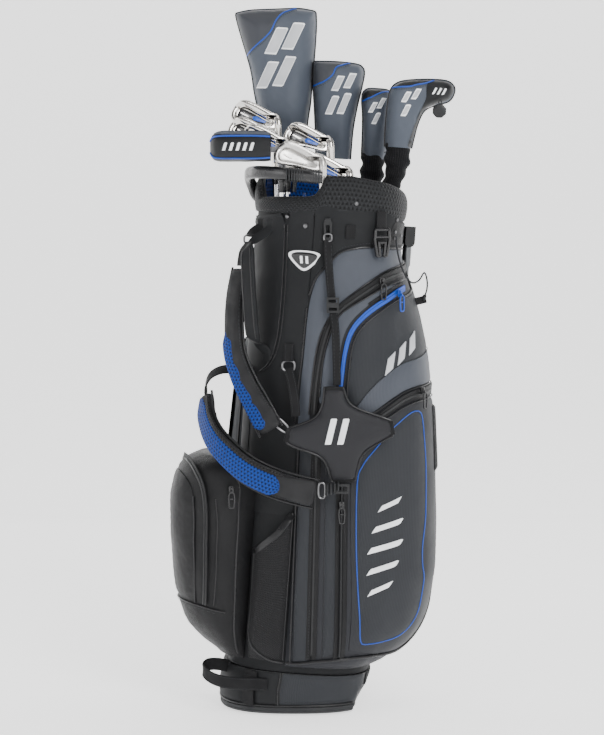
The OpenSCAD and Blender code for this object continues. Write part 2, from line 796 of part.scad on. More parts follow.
base_foot();
base_tub();
body_shell();
frame_stays();
collar_ring();
collar_pad();
top_handle();
dividers();
big_pocket();
left_pocket();
mesh_pocket();
rear_pocket();
ball_pocket();
leg_bracket();
leg_near();
leg_far();
actuator_rod();
strap_pad_upper();
strap_pad_lower();
strap_hub();
webbing();
strap_buckles();
hanger_buckle();
bungee_cord();
zip_slider_chest();
zip_slider_curved();
zip_slider_side();
zip_slider_left();
zip_slider_front();
zip_tracks();
driver_head();
driver_shaft();
driver_cover();
fairway_head();
fairway_shaft();
fairway_cover();
hybrid_4_head();
hybrid_4_shaft();
hybrid_4_cover();
hybrid_5_head();
hybrid_5_shaft();
hybrid_5_cover();
cover_tag();
putter_head();
putter_shaft();
putter_cover();
iron_5_head();
iron_5_shaft();
iron_6_head();
iron_6_shaft();
iron_7_head();
iron_7_shaft();
iron_8_head();
iron_8_shaft();
iron_9_head();
iron_9_shaft();
pitching_wedge_head();
pitching_wedge_shaft();
sand_wedge_head();
sand_wedge_shaft();
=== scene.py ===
"""Golf stand bag with twelve clubs, head covers, a padded carry strap and folding legs.

Shapes are in millimetres. Names that end in _M or _m, the sizes in materials, the camera,
the floor and the lights are in metres. Places on the trunk are (az, w): the azimuth round
the trunk in degrees from +X, and the height along its leaning axis. Places on a head cover
are (u, w): across and along the same axis.
"""

import math

import bmesh
import bpy
import numpy as np
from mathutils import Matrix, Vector, noise
from mathutils.geometry import delaunay_2d_cdt


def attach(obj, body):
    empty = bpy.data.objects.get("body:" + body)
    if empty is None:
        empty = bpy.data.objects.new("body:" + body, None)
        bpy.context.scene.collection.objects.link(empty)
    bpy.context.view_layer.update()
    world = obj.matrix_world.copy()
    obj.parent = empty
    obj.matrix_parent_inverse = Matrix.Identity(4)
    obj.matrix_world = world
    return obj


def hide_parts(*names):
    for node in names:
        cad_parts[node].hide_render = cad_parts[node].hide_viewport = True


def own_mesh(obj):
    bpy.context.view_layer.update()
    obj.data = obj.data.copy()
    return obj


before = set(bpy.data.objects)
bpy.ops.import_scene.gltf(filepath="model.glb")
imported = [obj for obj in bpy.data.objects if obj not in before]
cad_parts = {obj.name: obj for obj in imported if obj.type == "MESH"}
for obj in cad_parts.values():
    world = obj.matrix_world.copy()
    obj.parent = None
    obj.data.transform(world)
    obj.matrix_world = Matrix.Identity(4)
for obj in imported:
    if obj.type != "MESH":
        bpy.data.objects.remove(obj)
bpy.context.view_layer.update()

MM = 0.001
LEAN = math.radians(4.1)

# ---- camera -----------------------------------------------------------------

PHOTO_W, PHOTO_H = 604, 735
FOCAL_PX = 2143
SENSOR_MM = 36
CAMERA_AT_M = (0.012, -3.6, 0.85)
CAMERA_DIP_DEG = 4.49


def link(name, data):
    """New object of the data, in the scene."""
    obj = bpy.data.objects.new(name, data)
    bpy.context.collection.objects.link(obj)
    return obj


camera_data = bpy.data.cameras.new("camera")
camera_data.sensor_width = SENSOR_MM
camera_data.lens = SENSOR_MM * FOCAL_PX / max(PHOTO_W, PHOTO_H)
camera = link("camera", camera_data)
camera.location = CAMERA_AT_M
camera.rotation_euler = (math.radians(90 - CAMERA_DIP_DEG), 0, 0)
bpy.context.scene.camera = camera


# ---- points, curves and sweeps ----------------------------------------------

def floats(*values):
    """The values as float arrays of one shape."""
    return np.broadcast_arrays(*(np.asarray(v, float) for v in values))


def unit(v):
    """Vectors of length 1, along the last axis."""
    v = np.asarray(v, float)
    return v / np.maximum(np.linalg.norm(v, axis=-1, keepdims=True), 1e-9)


def on_lean(u, v, w):
    """Points given along the leaning trunk, in the shared frame."""
    u, v, w = floats(u, v, w)
    c, s = math.cos(LEAN), math.sin(LEAN)
    return np.stack([u * c + w * s, v, w * c - u * s], -1)


def smooth(points, steps=6, closed=False):
    """Catmull-Rom curve through points; a point given twice makes a corner."""
    p = np.asarray(points, float)
    n = len(p)
    spans = n if closed else n - 1
    t = np.linspace(0, 1, steps, endpoint=False)[:, None]
    out = []
    for i in range(spans):
        at = (lambda k: p[k % n]) if closed else (lambda k: p[min(max(k, 0), n - 1)])
        a, b, c, d = at(i - 1), at(i), at(i + 1), at(i + 2)
        if np.allclose(b, c):
            continue
        out.append(0.5 * (2 * b + (c - a) * t + (2 * a - 5 * b + 4 * c - d) * t ** 2
                          + (3 * b - a - 3 * c + d) * t ** 3))
    if not closed:
        out.append(p[-1:])
    return np.concatenate(out)


def even(points, step):
    """The same line with its points about step apart."""
    p = np.asarray(points, float)
    along = np.concatenate([[0], np.cumsum(np.linalg.norm(np.diff(p, axis=0), axis=1))])
    count = max(int(round(along[-1] / step)), 2)
    t = np.linspace(0, along[-1], count + 1)
    return np.stack([np.interp(t, along, p[:, k]) for k in range(p.shape[1])], -1)


def ease(a, b, x):
    """0 below a, 1 above b, smooth between them."""
    t = np.clip((np.asarray(x, float) - a) / (b - a), 0, 1)
    return t * t * (3 - 2 * t)


def read(pairs, x):
    """Value at x of a rising list of (x, value) pairs."""
    return np.interp(x, *zip(*pairs))


def table(pairs, x):
    """The same without corners at the points."""
    xs, ys = [p[0] for p in pairs], [p[1] for p in pairs]
    x = np.asarray(x, float)
    spread = (xs[-1] - xs[0]) / len(xs) * 0.22
    return sum(np.interp(x + k * spread, xs, ys) for k in (-1, -0.5, 0, 0.5, 1)) / 5


def ripple(p, size, seed=0.0):
    """Smooth noise from -1 to 1 at points in mm, with features about size apart."""
    flat = np.asarray(p, float).reshape(-1, 3) / size + seed
    values = np.array([noise.noise(Vector(q)) for q in flat])
    return values.reshape(np.asarray(p).shape[:-1])


class Geo:
    """Vertices in mm, faces and face-corner UVs in metres, gathered into one mesh."""

    def __init__(self):
        self.verts, self.faces, self.uvs = [], [], []

    def add(self, verts, faces, uvs):
        start = sum(len(v) for v in self.verts)
        self.verts.append(np.asarray(verts, float).reshape(-1, 3))
        self.faces += [[start + i for i in f] for f in faces]
        self.uvs += [list(c) for c in uvs]
        return self

    def make(self, name, material, body="bag", sharp=40, slot=None, replaces=()):
        mesh = bpy.data.meshes.new(name)
        mesh.from_pydata((np.concatenate(self.verts) * MM).tolist(), [], self.faces)
        layer = mesh.uv_layers.new(name="UVMap")
        layer.data.foreach_set("uv", np.array(
            [c for f in self.uvs for c in f], np.float32).ravel())
        mesh.validate()
        for polygon in mesh.polygons:
            polygon.use_smooth = True
        mesh.set_sharp_from_angle(angle=math.radians(sharp))
        mesh.materials.append(material)
        obj = link(name, mesh)
        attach(obj, body)
        if replaces:
            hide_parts(*replaces)
        return obj


def grid_faces(rings, count, closed_u, closed_v):
    """Quads of a grid of rings, each with count points, and their corners' (ring, point)."""
    faces, corners = [], []
    for i in range(rings if closed_v else rings - 1):
        for j in range(count if closed_u else count - 1):
            i2, j2 = (i + 1) % rings, (j + 1) % count
            faces.append([i * count + j, i * count + j2, i2 * count + j2, i2 * count + j])
            corners.append([(i, j), (i, j + 1), (i + 1, j + 1), (i + 1, j)])
    return faces, corners


def loft(geo, rings, closed_u=True, closed_v=False, caps=True):
    """Skin through rings of points, with UVs in metres along and round it."""
    rings = np.asarray(rings, float)
    m, n = rings.shape[:2]
    faces, corners = grid_faces(m, n, closed_u, closed_v)
    wrapped = np.concatenate([rings, rings[:, :1]], 1)
    wrapped = np.concatenate([wrapped, wrapped[:1]], 0)
    across = np.linalg.norm(np.diff(wrapped, axis=1), axis=2).mean(0)
    across = np.concatenate([[0], np.cumsum(across)]) * MM
    up = np.linalg.norm(np.diff(wrapped.mean(1), axis=0), axis=1)
    step = np.linalg.norm(np.diff(wrapped, axis=0), axis=2).mean(1)
    up = np.concatenate([[0], np.cumsum(np.maximum(up, step))]) * MM
    uvs = [[(across[j], up[i]) for i, j in c] for c in corners]
    if caps and closed_u and not closed_v:
        for ring, order in ((0, range(n - 1, -1, -1)), (m - 1, range(n))):
            order = list(order)
            faces.append([ring * n + j for j in order])
            middle = rings[ring].mean(0)
            uvs.append([tuple((rings[ring][j] - middle)[[0, 1]] * MM) for j in order])
    return geo.add(rings.reshape(-1, 3), faces, uvs)


def frames(path, normals=None, closed=False):
    """Unit tangents, normals and sides along a path."""
    p = np.asarray(path, float)
    t = (np.roll(p, -1, 0) - np.roll(p, 1, 0)) if closed else np.gradient(p, axis=0)
    t = unit(t)
    if normals is None:
        n = np.zeros_like(p)
        start = np.array([0.31, 0.9, 0.29])
        n[0] = unit(start - t[0] * (start @ t[0]))
        for i in range(1, len(p)):
            n[i] = unit(n[i - 1] - t[i] * (n[i - 1] @ t[i]))
    else:
        n = np.asarray(normals, float)
        n = unit(n - t * (n * t).sum(1, keepdims=True))
    return t, n, np.cross(t, n)


def sweep(geo, path, section, normals=None, closed=False, scale=None):
    """A section of (side, out) points carried along a path."""
    path = np.asarray(path, float)
    _, n, s = frames(path, normals, closed)
    section = np.asarray(section, float)
    if section.ndim == 2:
        section = np.repeat(section[None], len(path), 0)
    if scale is not None:
        section = section * np.asarray(scale, float)[:, None, None]
    rings = path[:, None] + s[:, None] * section[..., :1] + n[:, None] * section[..., 1:]
    return loft(geo, rings, closed_v=closed)


def around(count):
    """Angles of a full turn in radians."""
    return np.linspace(0, 2 * math.pi, count, endpoint=False)


def rounded(x, power):
    """Sine or cosine bent so that its circle becomes an oval with fuller corners."""
    return np.sign(x) * np.abs(x) ** (2 / power)


def circle(radius, sides=8):
    t = around(sides)
    return np.stack([np.cos(t), -np.sin(t)], -1) * radius


def slab(width, thick, sides=16, power=4.0):
    """Section with rounded corners, width across and thick outwards."""
    t = around(sides)
    return np.stack([rounded(np.cos(t), power) * width / 2,
                     rounded(-np.sin(t), power) * thick / 2], -1)


def oval(a, b, cu=0.0, cv=0.0, n=2.6, count=40):
    """Oval with half axes a and b round (cu, cv)."""
    t = around(count)
    return np.stack([cu + a * rounded(np.cos(t), n), cv + b * rounded(np.sin(t), n)], -1)


# ---- the bag's surfaces -----------------------------------------------------

TRUNK_A, TRUNK_B, OVAL_N = 121, 108, 2.6
# Gap at which cloth lies on the trunk, and how far the pockets stand off it
LIE_GAP = 1.5
BIG_DEPTH, LEFT_DEPTH, REAR_DEPTH, BALL_DEPTH, BALL_BACK = 97, 111, 56, 62, 13
# Length on the trunk's surface of a degree of azimuth
PER_DEGREE = 2.05


def trunk_r(az):
    """Radius of the trunk's oval at azimuth az."""
    c, s = np.abs(np.cos(np.radians(az))), np.abs(np.sin(np.radians(az)))
    return ((c / TRUNK_A) ** OVAL_N + (s / TRUNK_B) ** OVAL_N) ** (-1 / OVAL_N)


def off_trunk(az, w, out):
    """Points that stand off the trunk's surface by out."""
    az, w, out = floats(az, w, out)
    r = trunk_r(az) + out
    return on_lean(r * np.cos(np.radians(az)), r * np.sin(np.radians(az)), w)


# Top of the pad's seam with the yoke at azimuth az
YOKE_TOP = [(-210, 816), (-174, 816), (-150, 818), (-136, 821), (-124, 828), (-106, 841),
            (-91, 849), (-79, 854), (-67, 856), (-55, 851), (-44, 841), (-33, 831),
            (-20, 822), (0, 818), (60, 816), (150, 816)]


def yoke_top(az):
    """Height of the yoke's upper edge at azimuth az."""
    return float(read(YOKE_TOP, az))


# How far the big pocket stands off: a share of its depth up the trunk, on its side
# panel and on its front panel, and round it (azimuth, share, 0 front to 1 side)
BIG_SIDE = [(80, 0.1), (96, 0.36), (118, 0.64), (148, 0.83), (178, 0.93), (246, 1),
            (330, 0.96), (418, 0.87), (511, 0.76), (603, 0.6), (679, 0.37), (730, 0.15),
            (754, 0.04)]
BIG_FRONT = [(80, 0.8), (118, 1), (560, 1), (679, 0.6), (754, 0.2)]
BIG_ROUND = [(-101, 0.03, 0), (-97, 0.09, 0), (-89, 0.11, 0), (-80, 0.13, 0),
             (-71, 0.17, 0.1), (-62, 0.28, 0.3), (-53, 0.38, 0.6), (-44, 0.48, 0.8),
             (-35, 0.6, 1), (-26, 0.77, 1), (-18, 0.9, 1), (-10, 0.97, 1), (-3, 1, 1),
             (2, 0.97, 1), (5, 0.82, 1), (6, 0.4, 1), (6.5, 0.03, 1)]


def trunk(az, w, out=0.0):
    """The trunk's own fabric, which swells over the foot of the collar."""
    return off_trunk(az, w, 5.2 * ease(806, 828, w) + out)


def big_stand_off(az, w):
    """How far the big pocket stands off the trunk."""
    share = table([(a, b) for a, b, _ in BIG_ROUND], az)
    side = table([(a, c) for a, _, c in BIG_ROUND], az)
    depth = BIG_DEPTH * share * (table(BIG_FRONT, w) * (1 - side) + table(BIG_SIDE, w) * side)
    inside = ease(-106, -100, az) * (1 - ease(5.6, 6.8, az)) * (1 - ease(752, 768, w))
    return depth * inside


def face(az, w, out=0.0):
    """The front and right of the bag: big pocket below, yoke above."""
    az, w = floats(az, w)
    return off_trunk(az, w, LIE_GAP + big_stand_off(az, w) + 3.7 * ease(806, 828, w) + out)


# Each pocket's share of its depth: up the trunk, and round it
LEFT_SIDE = [(84, 0.1), (94, 0.24), (106, 0.42), (132, 0.66), (165, 0.78), (209, 0.87),
             (276, 0.97), (345, 1), (392, 0.94), (410, 0.8), (417, 0.55)]
LEFT_ROUND = [(162, 0.03), (163, 0.3), (169, 0.74), (178, 0.95), (190, 1), (198, 0.97),
              (205, 0.88), (212, 0.75), (218, 0.6), (222.5, 0.4), (223.5, 0.03)]
REAR_SIDE = [(150, 0.2), (164, 0.62), (200, 0.9), (280, 1), (420, 0.96), (540, 0.82),
             (600, 0.6), (632, 0.2)]
REAR_ROUND = [(84, 0.03), (86, 0.5), (94, 0.86), (106, 1), (120, 1), (134, 0.96),
              (146, 0.84), (154, 0.5), (156, 0.03)]
BALL_SIDE = [(96, 0.3), (110, 0.7), (150, 0.95), (230, 1), (320, 0.92), (362, 0.66),
             (378, 0.3)]
BALL_ROUND = [(25, 0.03), (26, 0.7), (31, 0.94), (38, 1), (45, 0.94), (50, 0.7), (51, 0.03)]
MESH_ROUND = [(228, 1), (230, 12), (237, 20), (244, 22), (251, 18), (255.5, 11), (257, 1)]
MESH_TOP = [(226, 262), (236, 276), (248, 302), (258, 340)]


def pocket_face(depth, side, turn, back=0):
    """Outer surface of a pocket whose back lies back mm off the trunk."""
    def surface(az, w, out=0.0):
        return off_trunk(az, w, LIE_GAP + back + depth * table(side, w) * table(turn, az) + out)
    return surface


left_face = pocket_face(LEFT_DEPTH, LEFT_SIDE, LEFT_ROUND)
rear_face = pocket_face(REAR_DEPTH, REAR_SIDE, REAR_ROUND)
ball_face = pocket_face(BALL_DEPTH, BALL_SIDE, BALL_ROUND, BALL_BACK)


def mesh_face(az, w, out=0.0):
    """Outer cloth of the mesh pouch."""
    swell = 0.5 + 0.5 * ease(86, 116, w)
    return off_trunk(az, w, LIE_GAP + table(MESH_ROUND, az) * swell + out)


BASE_A, BASE_B = 127, 110
# Heights of the base's side: its foot, its widest ring and its top
BASE_LOW, BASE_MID, BASE_TOP = 11.3, 36, 68
# How fast the side on which the bag tips over curves away from its straight cut
CUT_CURVE = 60


def bag_oval(degrees, a, b):
    """(x, y) of the bag's oval with half axes a and b, at parameter angles."""
    t = np.radians(degrees)
    return a * rounded(np.cos(t), OVAL_N), b * rounded(np.sin(t), OVAL_N)


def base_point(t, z):
    """Point on the base's side at parameter angle t and height z."""
    t, z = floats(t, z)

    def ring(a, b, cut, height):
        x, y = bag_oval(t, a, b)
        x = np.minimum(x, cut - (y / CUT_CURVE) ** 2)
        return np.stack([x, y, np.full(t.shape, float(height))], -1)

    low = ring(BASE_A - 1, BASE_B - 1, 103, BASE_LOW)
    mid = ring(BASE_A, BASE_B, 118, BASE_MID)
    top = on_lean(*bag_oval(t, TRUNK_A + 3, TRUNK_B + 3), BASE_TOP)
    k = np.clip((z - BASE_LOW) / (BASE_MID - BASE_LOW), 0, 1)[..., None]
    k2 = np.clip((z - BASE_MID) / (BASE_TOP - BASE_MID), 0, 1)[..., None]
    return np.where((z < BASE_MID)[..., None], low * (1 - k) + mid * k,
                    mid * (1 - k2) + top * k2)


def base_face(t, z, out=0.0):
    """Points that stand off the base's side by out."""
    p = base_point(t, z)
    away = unit(p * np.array([1, 1, 0]))
    return p + away * np.asarray(out, float)[..., None]


def normal_at(surface, x, y):
    """Outward normal of a surface(x, y, out)."""
    return unit(surface(x, y, np.ones(np.shape(x))) - surface(x, y, np.zeros(np.shape(x))))


# ---- panels, piping, stitches -----------------------------------------------

def inside(points, outline):
    """Which points lie in a closed outline."""
    x, y = points[:, :1], points[:, 1:]
    a, b = outline, np.roll(outline, -1, 0)
    crosses = (a[:, 1] > y) != (b[:, 1] > y)
    at = a[:, 0] + (y - a[:, 1]) * (b[:, 0] - a[:, 0]) / np.where(b[:, 1] == a[:, 1], 1e-9,
                                                                  b[:, 1] - a[:, 1])
    return (crosses & (x < at)).sum(1) % 2 == 1


def distance(points, line, closed=True):
    """Distance of each point from a line of points."""
    a = line if closed else line[:-1]
    b = np.roll(line, -1, 0) if closed else line[1:]
    d = b - a
    best = np.full(len(points), 1e9)
    for start in range(0, len(a), 64):
        aa, dd = a[start:start + 64], d[start:start + 64]
        t = ((points[:, None] - aa) * dd).sum(2) / np.maximum((dd ** 2).sum(1), 1e-9)
        near = aa + np.clip(t, 0, 1)[..., None] * dd
        best = np.minimum(best, np.linalg.norm(points[:, None] - near, axis=2).min(1))
    return best


def area(outline):
    """Area of an outline, positive where it runs anticlockwise."""
    x, y = outline.T
    return 0.5 * (x * np.roll(y, -1) - np.roll(x, -1) * y).sum()


def triangulate(outline, step):
    """(points, triangles, count of outline points) of a closed outline filled with a grid."""
    edge = even(np.concatenate([outline, outline[:1]]), step)[:-1]
    low, high = edge.min(0), edge.max(0)
    rows = []
    for k, y in enumerate(np.arange(low[1], high[1], step * 0.87)):
        x = np.arange(low[0] + (k % 2) * step / 2, high[0], step)
        rows.append(np.stack([x, np.full_like(x, y)], -1))
    fill = np.concatenate(rows)
    fill = fill[inside(fill, edge)]
    fill = fill[distance(fill, edge) > step * 0.45]
    points = np.concatenate([edge, fill])
    n = len(edge)
    ring = [(i, (i + 1) % n) for i in range(n)]
    filled = delaunay_2d_cdt([Vector(p) for p in points], ring, [list(range(n))], 1, 1e-5)
    faces, origin = filled[2:4]
    place = [o[0] if o else 0 for o in origin]
    return points, [[place[i] for i in f] for f in faces], n


def crown(d, fall):
    """0 at an edge, rising roundly to 1 at fall from it."""
    t = np.clip(1 - d / fall, 0, 1)
    return np.sqrt(1 - t * t)


def patch(geo, surface, outline, base=1.0, rise=1.2, fall=9.0, thick=1.6, step=7.0,
          scale=PER_DEGREE, folds=0.0, fold_size=60.0, seed=0.0):
    """Closed panel of cloth or foil on a surface(x, y, out), crowned in from its edge.

    outline is in (x, y); scale is the length in mm of one x."""
    flat = np.asarray(outline, float) * [scale, 1]
    points, faces, n = triangulate(flat, step)
    d = distance(points, points[:n])
    x, y = points[:, 0] / scale, points[:, 1]
    out = base + rise * crown(d, fall)
    if folds:
        at = np.stack([points[:, 0], points[:, 1] * 0.45, np.zeros(len(points))], -1)
        out = out + folds * ripple(at, fold_size, seed) * np.clip(d / (2 * fall), 0, 1)
    top = surface(x, y, out)
    under = surface(x, y, np.full(len(x), base - thick))
    m = len(points)
    sides = [[i, (i + 1) % n, m + (i + 1) % n, m + i] for i in range(n)]
    all_faces = faces + [[m + i for i in reversed(f)] for f in faces] + sides
    uv = np.concatenate([points, points]) * MM
    # Faces turn outwards: the outline may run either way round
    f0 = faces[0]
    a, b, c = (top[f0[k]] for k in range(3))
    out_way = normal_at(surface, x[f0[0]:f0[0] + 1], y[f0[0]:f0[0] + 1])[0]
    if np.cross(b - a, c - a) @ out_way < 0:
        all_faces = [list(reversed(f)) for f in all_faces]
    if (area(points[:n]) > 0) == (area(points[f0]) > 0):
        flip = len(all_faces) - len(sides)
        all_faces[flip:] = [list(reversed(f)) for f in all_faces[flip:]]
    geo.add(np.concatenate([top, under]), all_faces,
            [[tuple(uv[i]) for i in f] for f in all_faces])
    return geo


def on_surface(surface, line, step=5.0, out=0.0, scale=PER_DEGREE, closed=False):
    """(points, normals) of an (x, y) line laid on a surface, about step apart."""
    line = np.asarray(line, float) * [scale, 1]
    if closed:
        line = np.concatenate([line, line[:1]])
    line = even(line, step) / [scale, 1]
    if closed:
        line = line[:-1]
    x, y = line[:, 0], line[:, 1]
    return surface(x, y, np.full(len(x), float(out))), normal_at(surface, x, y)


def piping(geo, surface, line, radius=1.6, out=1.0, scale=PER_DEGREE, closed=False):
    """Round cord sewn along a line."""
    path, normals = on_surface(surface, line, out=out, scale=scale, closed=closed)
    return sweep(geo, path, circle(radius), normals, closed)


def ribbon(geo, surface, line, width, thick=1.4, out=1.0, scale=PER_DEGREE, step=5.0):
    """Flat tape along a line; width is a number, or its two ends'."""
    path, normals = on_surface(surface, line, step, out, scale)
    wide = np.broadcast_to(width, 2) if np.ndim(width) < 1 else np.asarray(width, float)
    wide = np.interp(np.linspace(0, 1, len(path)), np.linspace(0, 1, len(wide)), wide)
    sections = np.stack([slab(k, thick) for k in wide])
    return sweep(geo, path, sections, normals)


def stitches(geo, surface, line, out=1.0, pitch=5.0, length=3.2, radius=0.45,
             scale=PER_DEGREE):
    """Row of sewn stitches, each a short raised thread."""
    path, normals = on_surface(surface, line, pitch / 4, out, scale)
    for i in range(0, len(path) - 4, 4):
        run = path[i:i + 4]
        run = run[0] + (run - run[0]) * (length / pitch)
        rise = np.array([-0.3, 0.25, 0.25, -0.3])[:, None] * normals[i:i + 4]
        sweep(geo, run + rise, circle(radius, 5), normals[i:i + 4])
    return geo


def coil(geo, surface, line, out=1.0, width=4.4, scale=PER_DEGREE):
    """Zip chain: a strip with a tooth every 2.4 mm."""
    path, normals = on_surface(surface, line, 1.2, out, scale)
    size = 1 - 0.22 * (np.arange(len(path)) % 2)
    return sweep(geo, path, slab(width, 2.0, 8, 3), normals, scale=size)


def tie(geo, centre, axis, radius, height, sides, rings):
    """Turned piece round an axis: rings are (share of radius, share of height)."""
    axis = unit(axis)
    side = unit(np.cross(axis, [0.21, 0.35, 0.91]))
    other = np.cross(axis, side)
    t = around(sides)[:, None]
    built = [np.asarray(centre) + axis * height * h
             + (side * np.cos(t) + other * np.sin(t)) * radius * r for r, h in rings]
    return loft(geo, built)


def rivet(geo, surface, x, y, radius, out):
    """Domed rivet head with a dimple ring."""
    x, y = np.array([x]), np.array([y])
    return tie(geo, surface(x, y, np.array([out]))[0], normal_at(surface, x, y)[0], radius,
               2.2, 20, ((1.0, -0.3), (1.0, 0.25), (0.9, 0.7), (0.62, 0.95), (0.5, 0.8),
                         (0.32, 0.85), (0.02, 1.0)))


# ---- materials --------------------------------------------------------------

def linear(r, g, b):
    """Linear colour of an 8-bit display colour."""
    def one(c):
        c /= 255
        return c / 12.92 if c <= 0.04045 else ((c + 0.055) / 1.055) ** 2.4
    return (one(r), one(g), one(b), 1.0)


class Nodes:
    """Short calls for building one material's nodes."""

    def __init__(self, name):
        self.material = bpy.data.materials.new(name)
        self.material.use_nodes = True
        self.tree = self.material.node_tree
        self.shader = self.tree.nodes["Principled BSDF"]

    def new(self, kind, **inputs):
        node = self.tree.nodes.new(kind)
        for key, value in inputs.items():
            self.put(node.inputs[key.replace("_", " ")], value)
        return node

    def put(self, socket, value):
        if isinstance(value, bpy.types.NodeSocket):
            self.tree.links.new(value, socket)
        else:
            socket.default_value = value

    def math(self, operation, a, b=0.0):
        node = self.tree.nodes.new("ShaderNodeMath")
        node.operation = operation
        self.put(node.inputs[0], a)
        self.put(node.inputs[1], b)
        return node.outputs[0]

    def mix(self, share, a, b):
        node = self.tree.nodes.new("ShaderNodeMix")
        node.data_type = "RGBA"
        self.put(node.inputs["Factor"], share)
        self.put(node.inputs["A"], a)
        self.put(node.inputs["B"], b)
        return node.outputs["Result"]

    def ramp(self, value, stops):
        """Number from a number, through (position, value) stops."""
        node = self.tree.nodes.new("ShaderNodeValToRGB")
        self.put(node.inputs[0], value)
        ramp = node.color_ramp
        ramp.elements[0].position, ramp.elements[1].position = stops[0][0], stops[-1][0]
        ramp.elements[0].color = (*[stops[0][1]] * 3, 1)
        ramp.elements[1].color = (*[stops[-1][1]] * 3, 1)
        for position, level in stops[1:-1]:
            ramp.elements.new(position).color = (level, level, level, 1)
        return node.outputs[0]

    def coords(self, kind="UV"):
        return self.new("ShaderNodeTexCoord").outputs[kind]

    def noise(self, size, detail=3.0, kind="Object"):
        """Noise with features about size metres apart."""
        node = self.new("ShaderNodeTexNoise", Vector=self.coords(kind), Scale=1 / size,
                        Detail=detail)
        return node.outputs["Fac"]

    def bump(self, height, strength, depth_m, under=None):
        node = self.new("ShaderNodeBump", Strength=strength, Distance=depth_m, Height=height)
        if under is not None:
            self.put(node.inputs["Normal"], under)
        return node.outputs["Normal"]

    def waves(self, pitch, turn=0.0):
        """(sin along x, sin along y) of the UVs, turned, with a pitch in metres."""
        turned = self.new("ShaderNodeVectorRotate", Vector=self.coords("UV"), Angle=turn)
        split = self.new("ShaderNodeSeparateXYZ", Vector=turned.outputs[0])
        k = 2 * math.pi / pitch
        return [self.math("SINE", self.math("MULTIPLY", split.outputs[i], k))
                for i in (0, 1)]

    def done(self, color, roughness, normal=None, metallic=0.0, **uniform):
        self.put(self.shader.inputs["Base Color"], color)
        self.put(self.shader.inputs["Roughness"], roughness)
        self.shader.inputs["Metallic"].default_value = metallic
        if normal is not None:
            self.put(self.shader.inputs["Normal"], normal)
        for key, value in uniform.items():
            self.shader.inputs[key.replace("_", " ")].default_value = value
        return self.material


def shade(color, share):
    return (*(c * share for c in color[:3]), 1.0)


def fine_weave(name, color, pitch=0.0022, contrast=0.45, rough=0.62, sheen=0.12, fold=0.35,
               turn=math.pi / 4):
    """Coated woven fabric: a small diamond weave, soft folds and light wear."""
    m = Nodes(name)
    a, b = m.waves(pitch, turn=turn)
    weave = m.ramp(m.math("ADD", m.math("MULTIPLY", m.math("MULTIPLY", a, b), 0.5), 0.5),
                   [(0.0, 0.0), (0.45, 0.35), (1.0, 1.0)])
    worn = m.noise(0.07, 4)
    dark = m.mix(worn, shade(color, 1 - contrast), shade(color, 1 - contrast * 0.75))
    light = m.mix(worn, shade(color, 1 + contrast * 0.5), shade(color, 1 + contrast * 0.85))
    tone = m.mix(weave, dark, light)
    soft = m.bump(m.noise(0.035, 2), fold, 0.003)
    normal = m.bump(weave, 0.35, 0.0005, soft)
    return m.done(tone, m.ramp(worn, [(0.3, rough - 0.08), (0.7, rough + 0.08)]), normal,
                  Sheen_Weight=sheen * 0.4, Sheen_Roughness=0.5, Specular_IOR_Level=0.22)


def leatherette(name, color, rough=0.42, grain=0.0016, fold=0.25, coat=0.0):
    """Smooth coated cloth: fine pebble grain, a few soft creases, worn a little paler."""
    m = Nodes(name)
    cells = m.new("ShaderNodeTexVoronoi", Vector=m.coords("Object"), Scale=1 / grain)
    pebble = m.ramp(cells.outputs["Distance"], [(0.0, 1.0), (0.7, 0.0)])
    worn = m.noise(0.05, 5)
    tone = m.mix(worn, shade(color, 0.8), shade(color, 1.28))
    soft = m.bump(m.noise(0.03, 2), fold, 0.0025)
    normal = m.bump(pebble, 0.25, 0.0003, soft)
    return m.done(tone, m.ramp(worn, [(0.3, rough - 0.06), (0.7, rough + 0.1)]), normal,
                  Coat_Weight=coat, Sheen_Weight=0.02, Specular_IOR_Level=0.22)


def spacer_mesh(name, color, pitch=0.0055, hole_shade=0.16):
    """Knitted spacer mesh: rows of round openings between glossy threads, the openings darkened
    with painted shade.
    """
    m = Nodes(name)
    turned = [m.waves(pitch, t)[0] for t in (0, math.pi * 2 / 3, -math.pi * 2 / 3)]
    total = m.math("ADD", m.math("ADD", turned[0], turned[1]), turned[2])
    cell = m.ramp(m.math("ADD", m.math("MULTIPLY", total, 0.18), 0.5),
                  [(0.3, 1.0), (0.58, 0.75), (0.8, 0.0)])
    thread = m.noise(0.0009, 2, "UV")
    worn = m.noise(0.04, 3)
    lit = m.mix(thread, shade(color, 0.75), shade(color, 1.35))
    lit = m.mix(worn, lit, shade(color, 1.0))
    # Painted shade: the openings are coloured a much darker copy of the thread colour, standing
    # for the shade inside them
    tone = m.mix(cell, shade(color, hole_shade), lit)
    normal = m.bump(cell, 0.9, 0.0014, m.bump(m.noise(0.02, 2), 0.2, 0.002))
    return m.done(tone, m.ramp(thread, [(0.3, 0.5), (0.7, 0.72)]), normal,
                  Sheen_Weight=0.04, Sheen_Roughness=0.4, Specular_IOR_Level=0.2)


def knit(name, color):
    """Ribbed knit sock."""
    m = Nodes(name)
    rib, row = m.waves(0.0034)
    height = m.ramp(m.math("ADD", m.math("ADD", m.math("MULTIPLY", rib, 0.38), 0.5),
                           m.math("MULTIPLY", row, 0.1)), [(0.0, 0.0), (1.0, 1.0)])
    fluff = m.noise(0.0012, 4)
    tone = m.mix(height, shade(color, 0.35), m.mix(fluff, shade(color, 0.8),
                                                   shade(color, 1.4)))
    normal = m.bump(height, 0.7, 0.0012, m.bump(fluff, 0.3, 0.0006))
    return m.done(tone, m.ramp(fluff, [(0.3, 0.82), (0.7, 0.95)]), normal,
                  Sheen_Weight=0.05, Sheen_Roughness=0.4, Specular_IOR_Level=0.15)


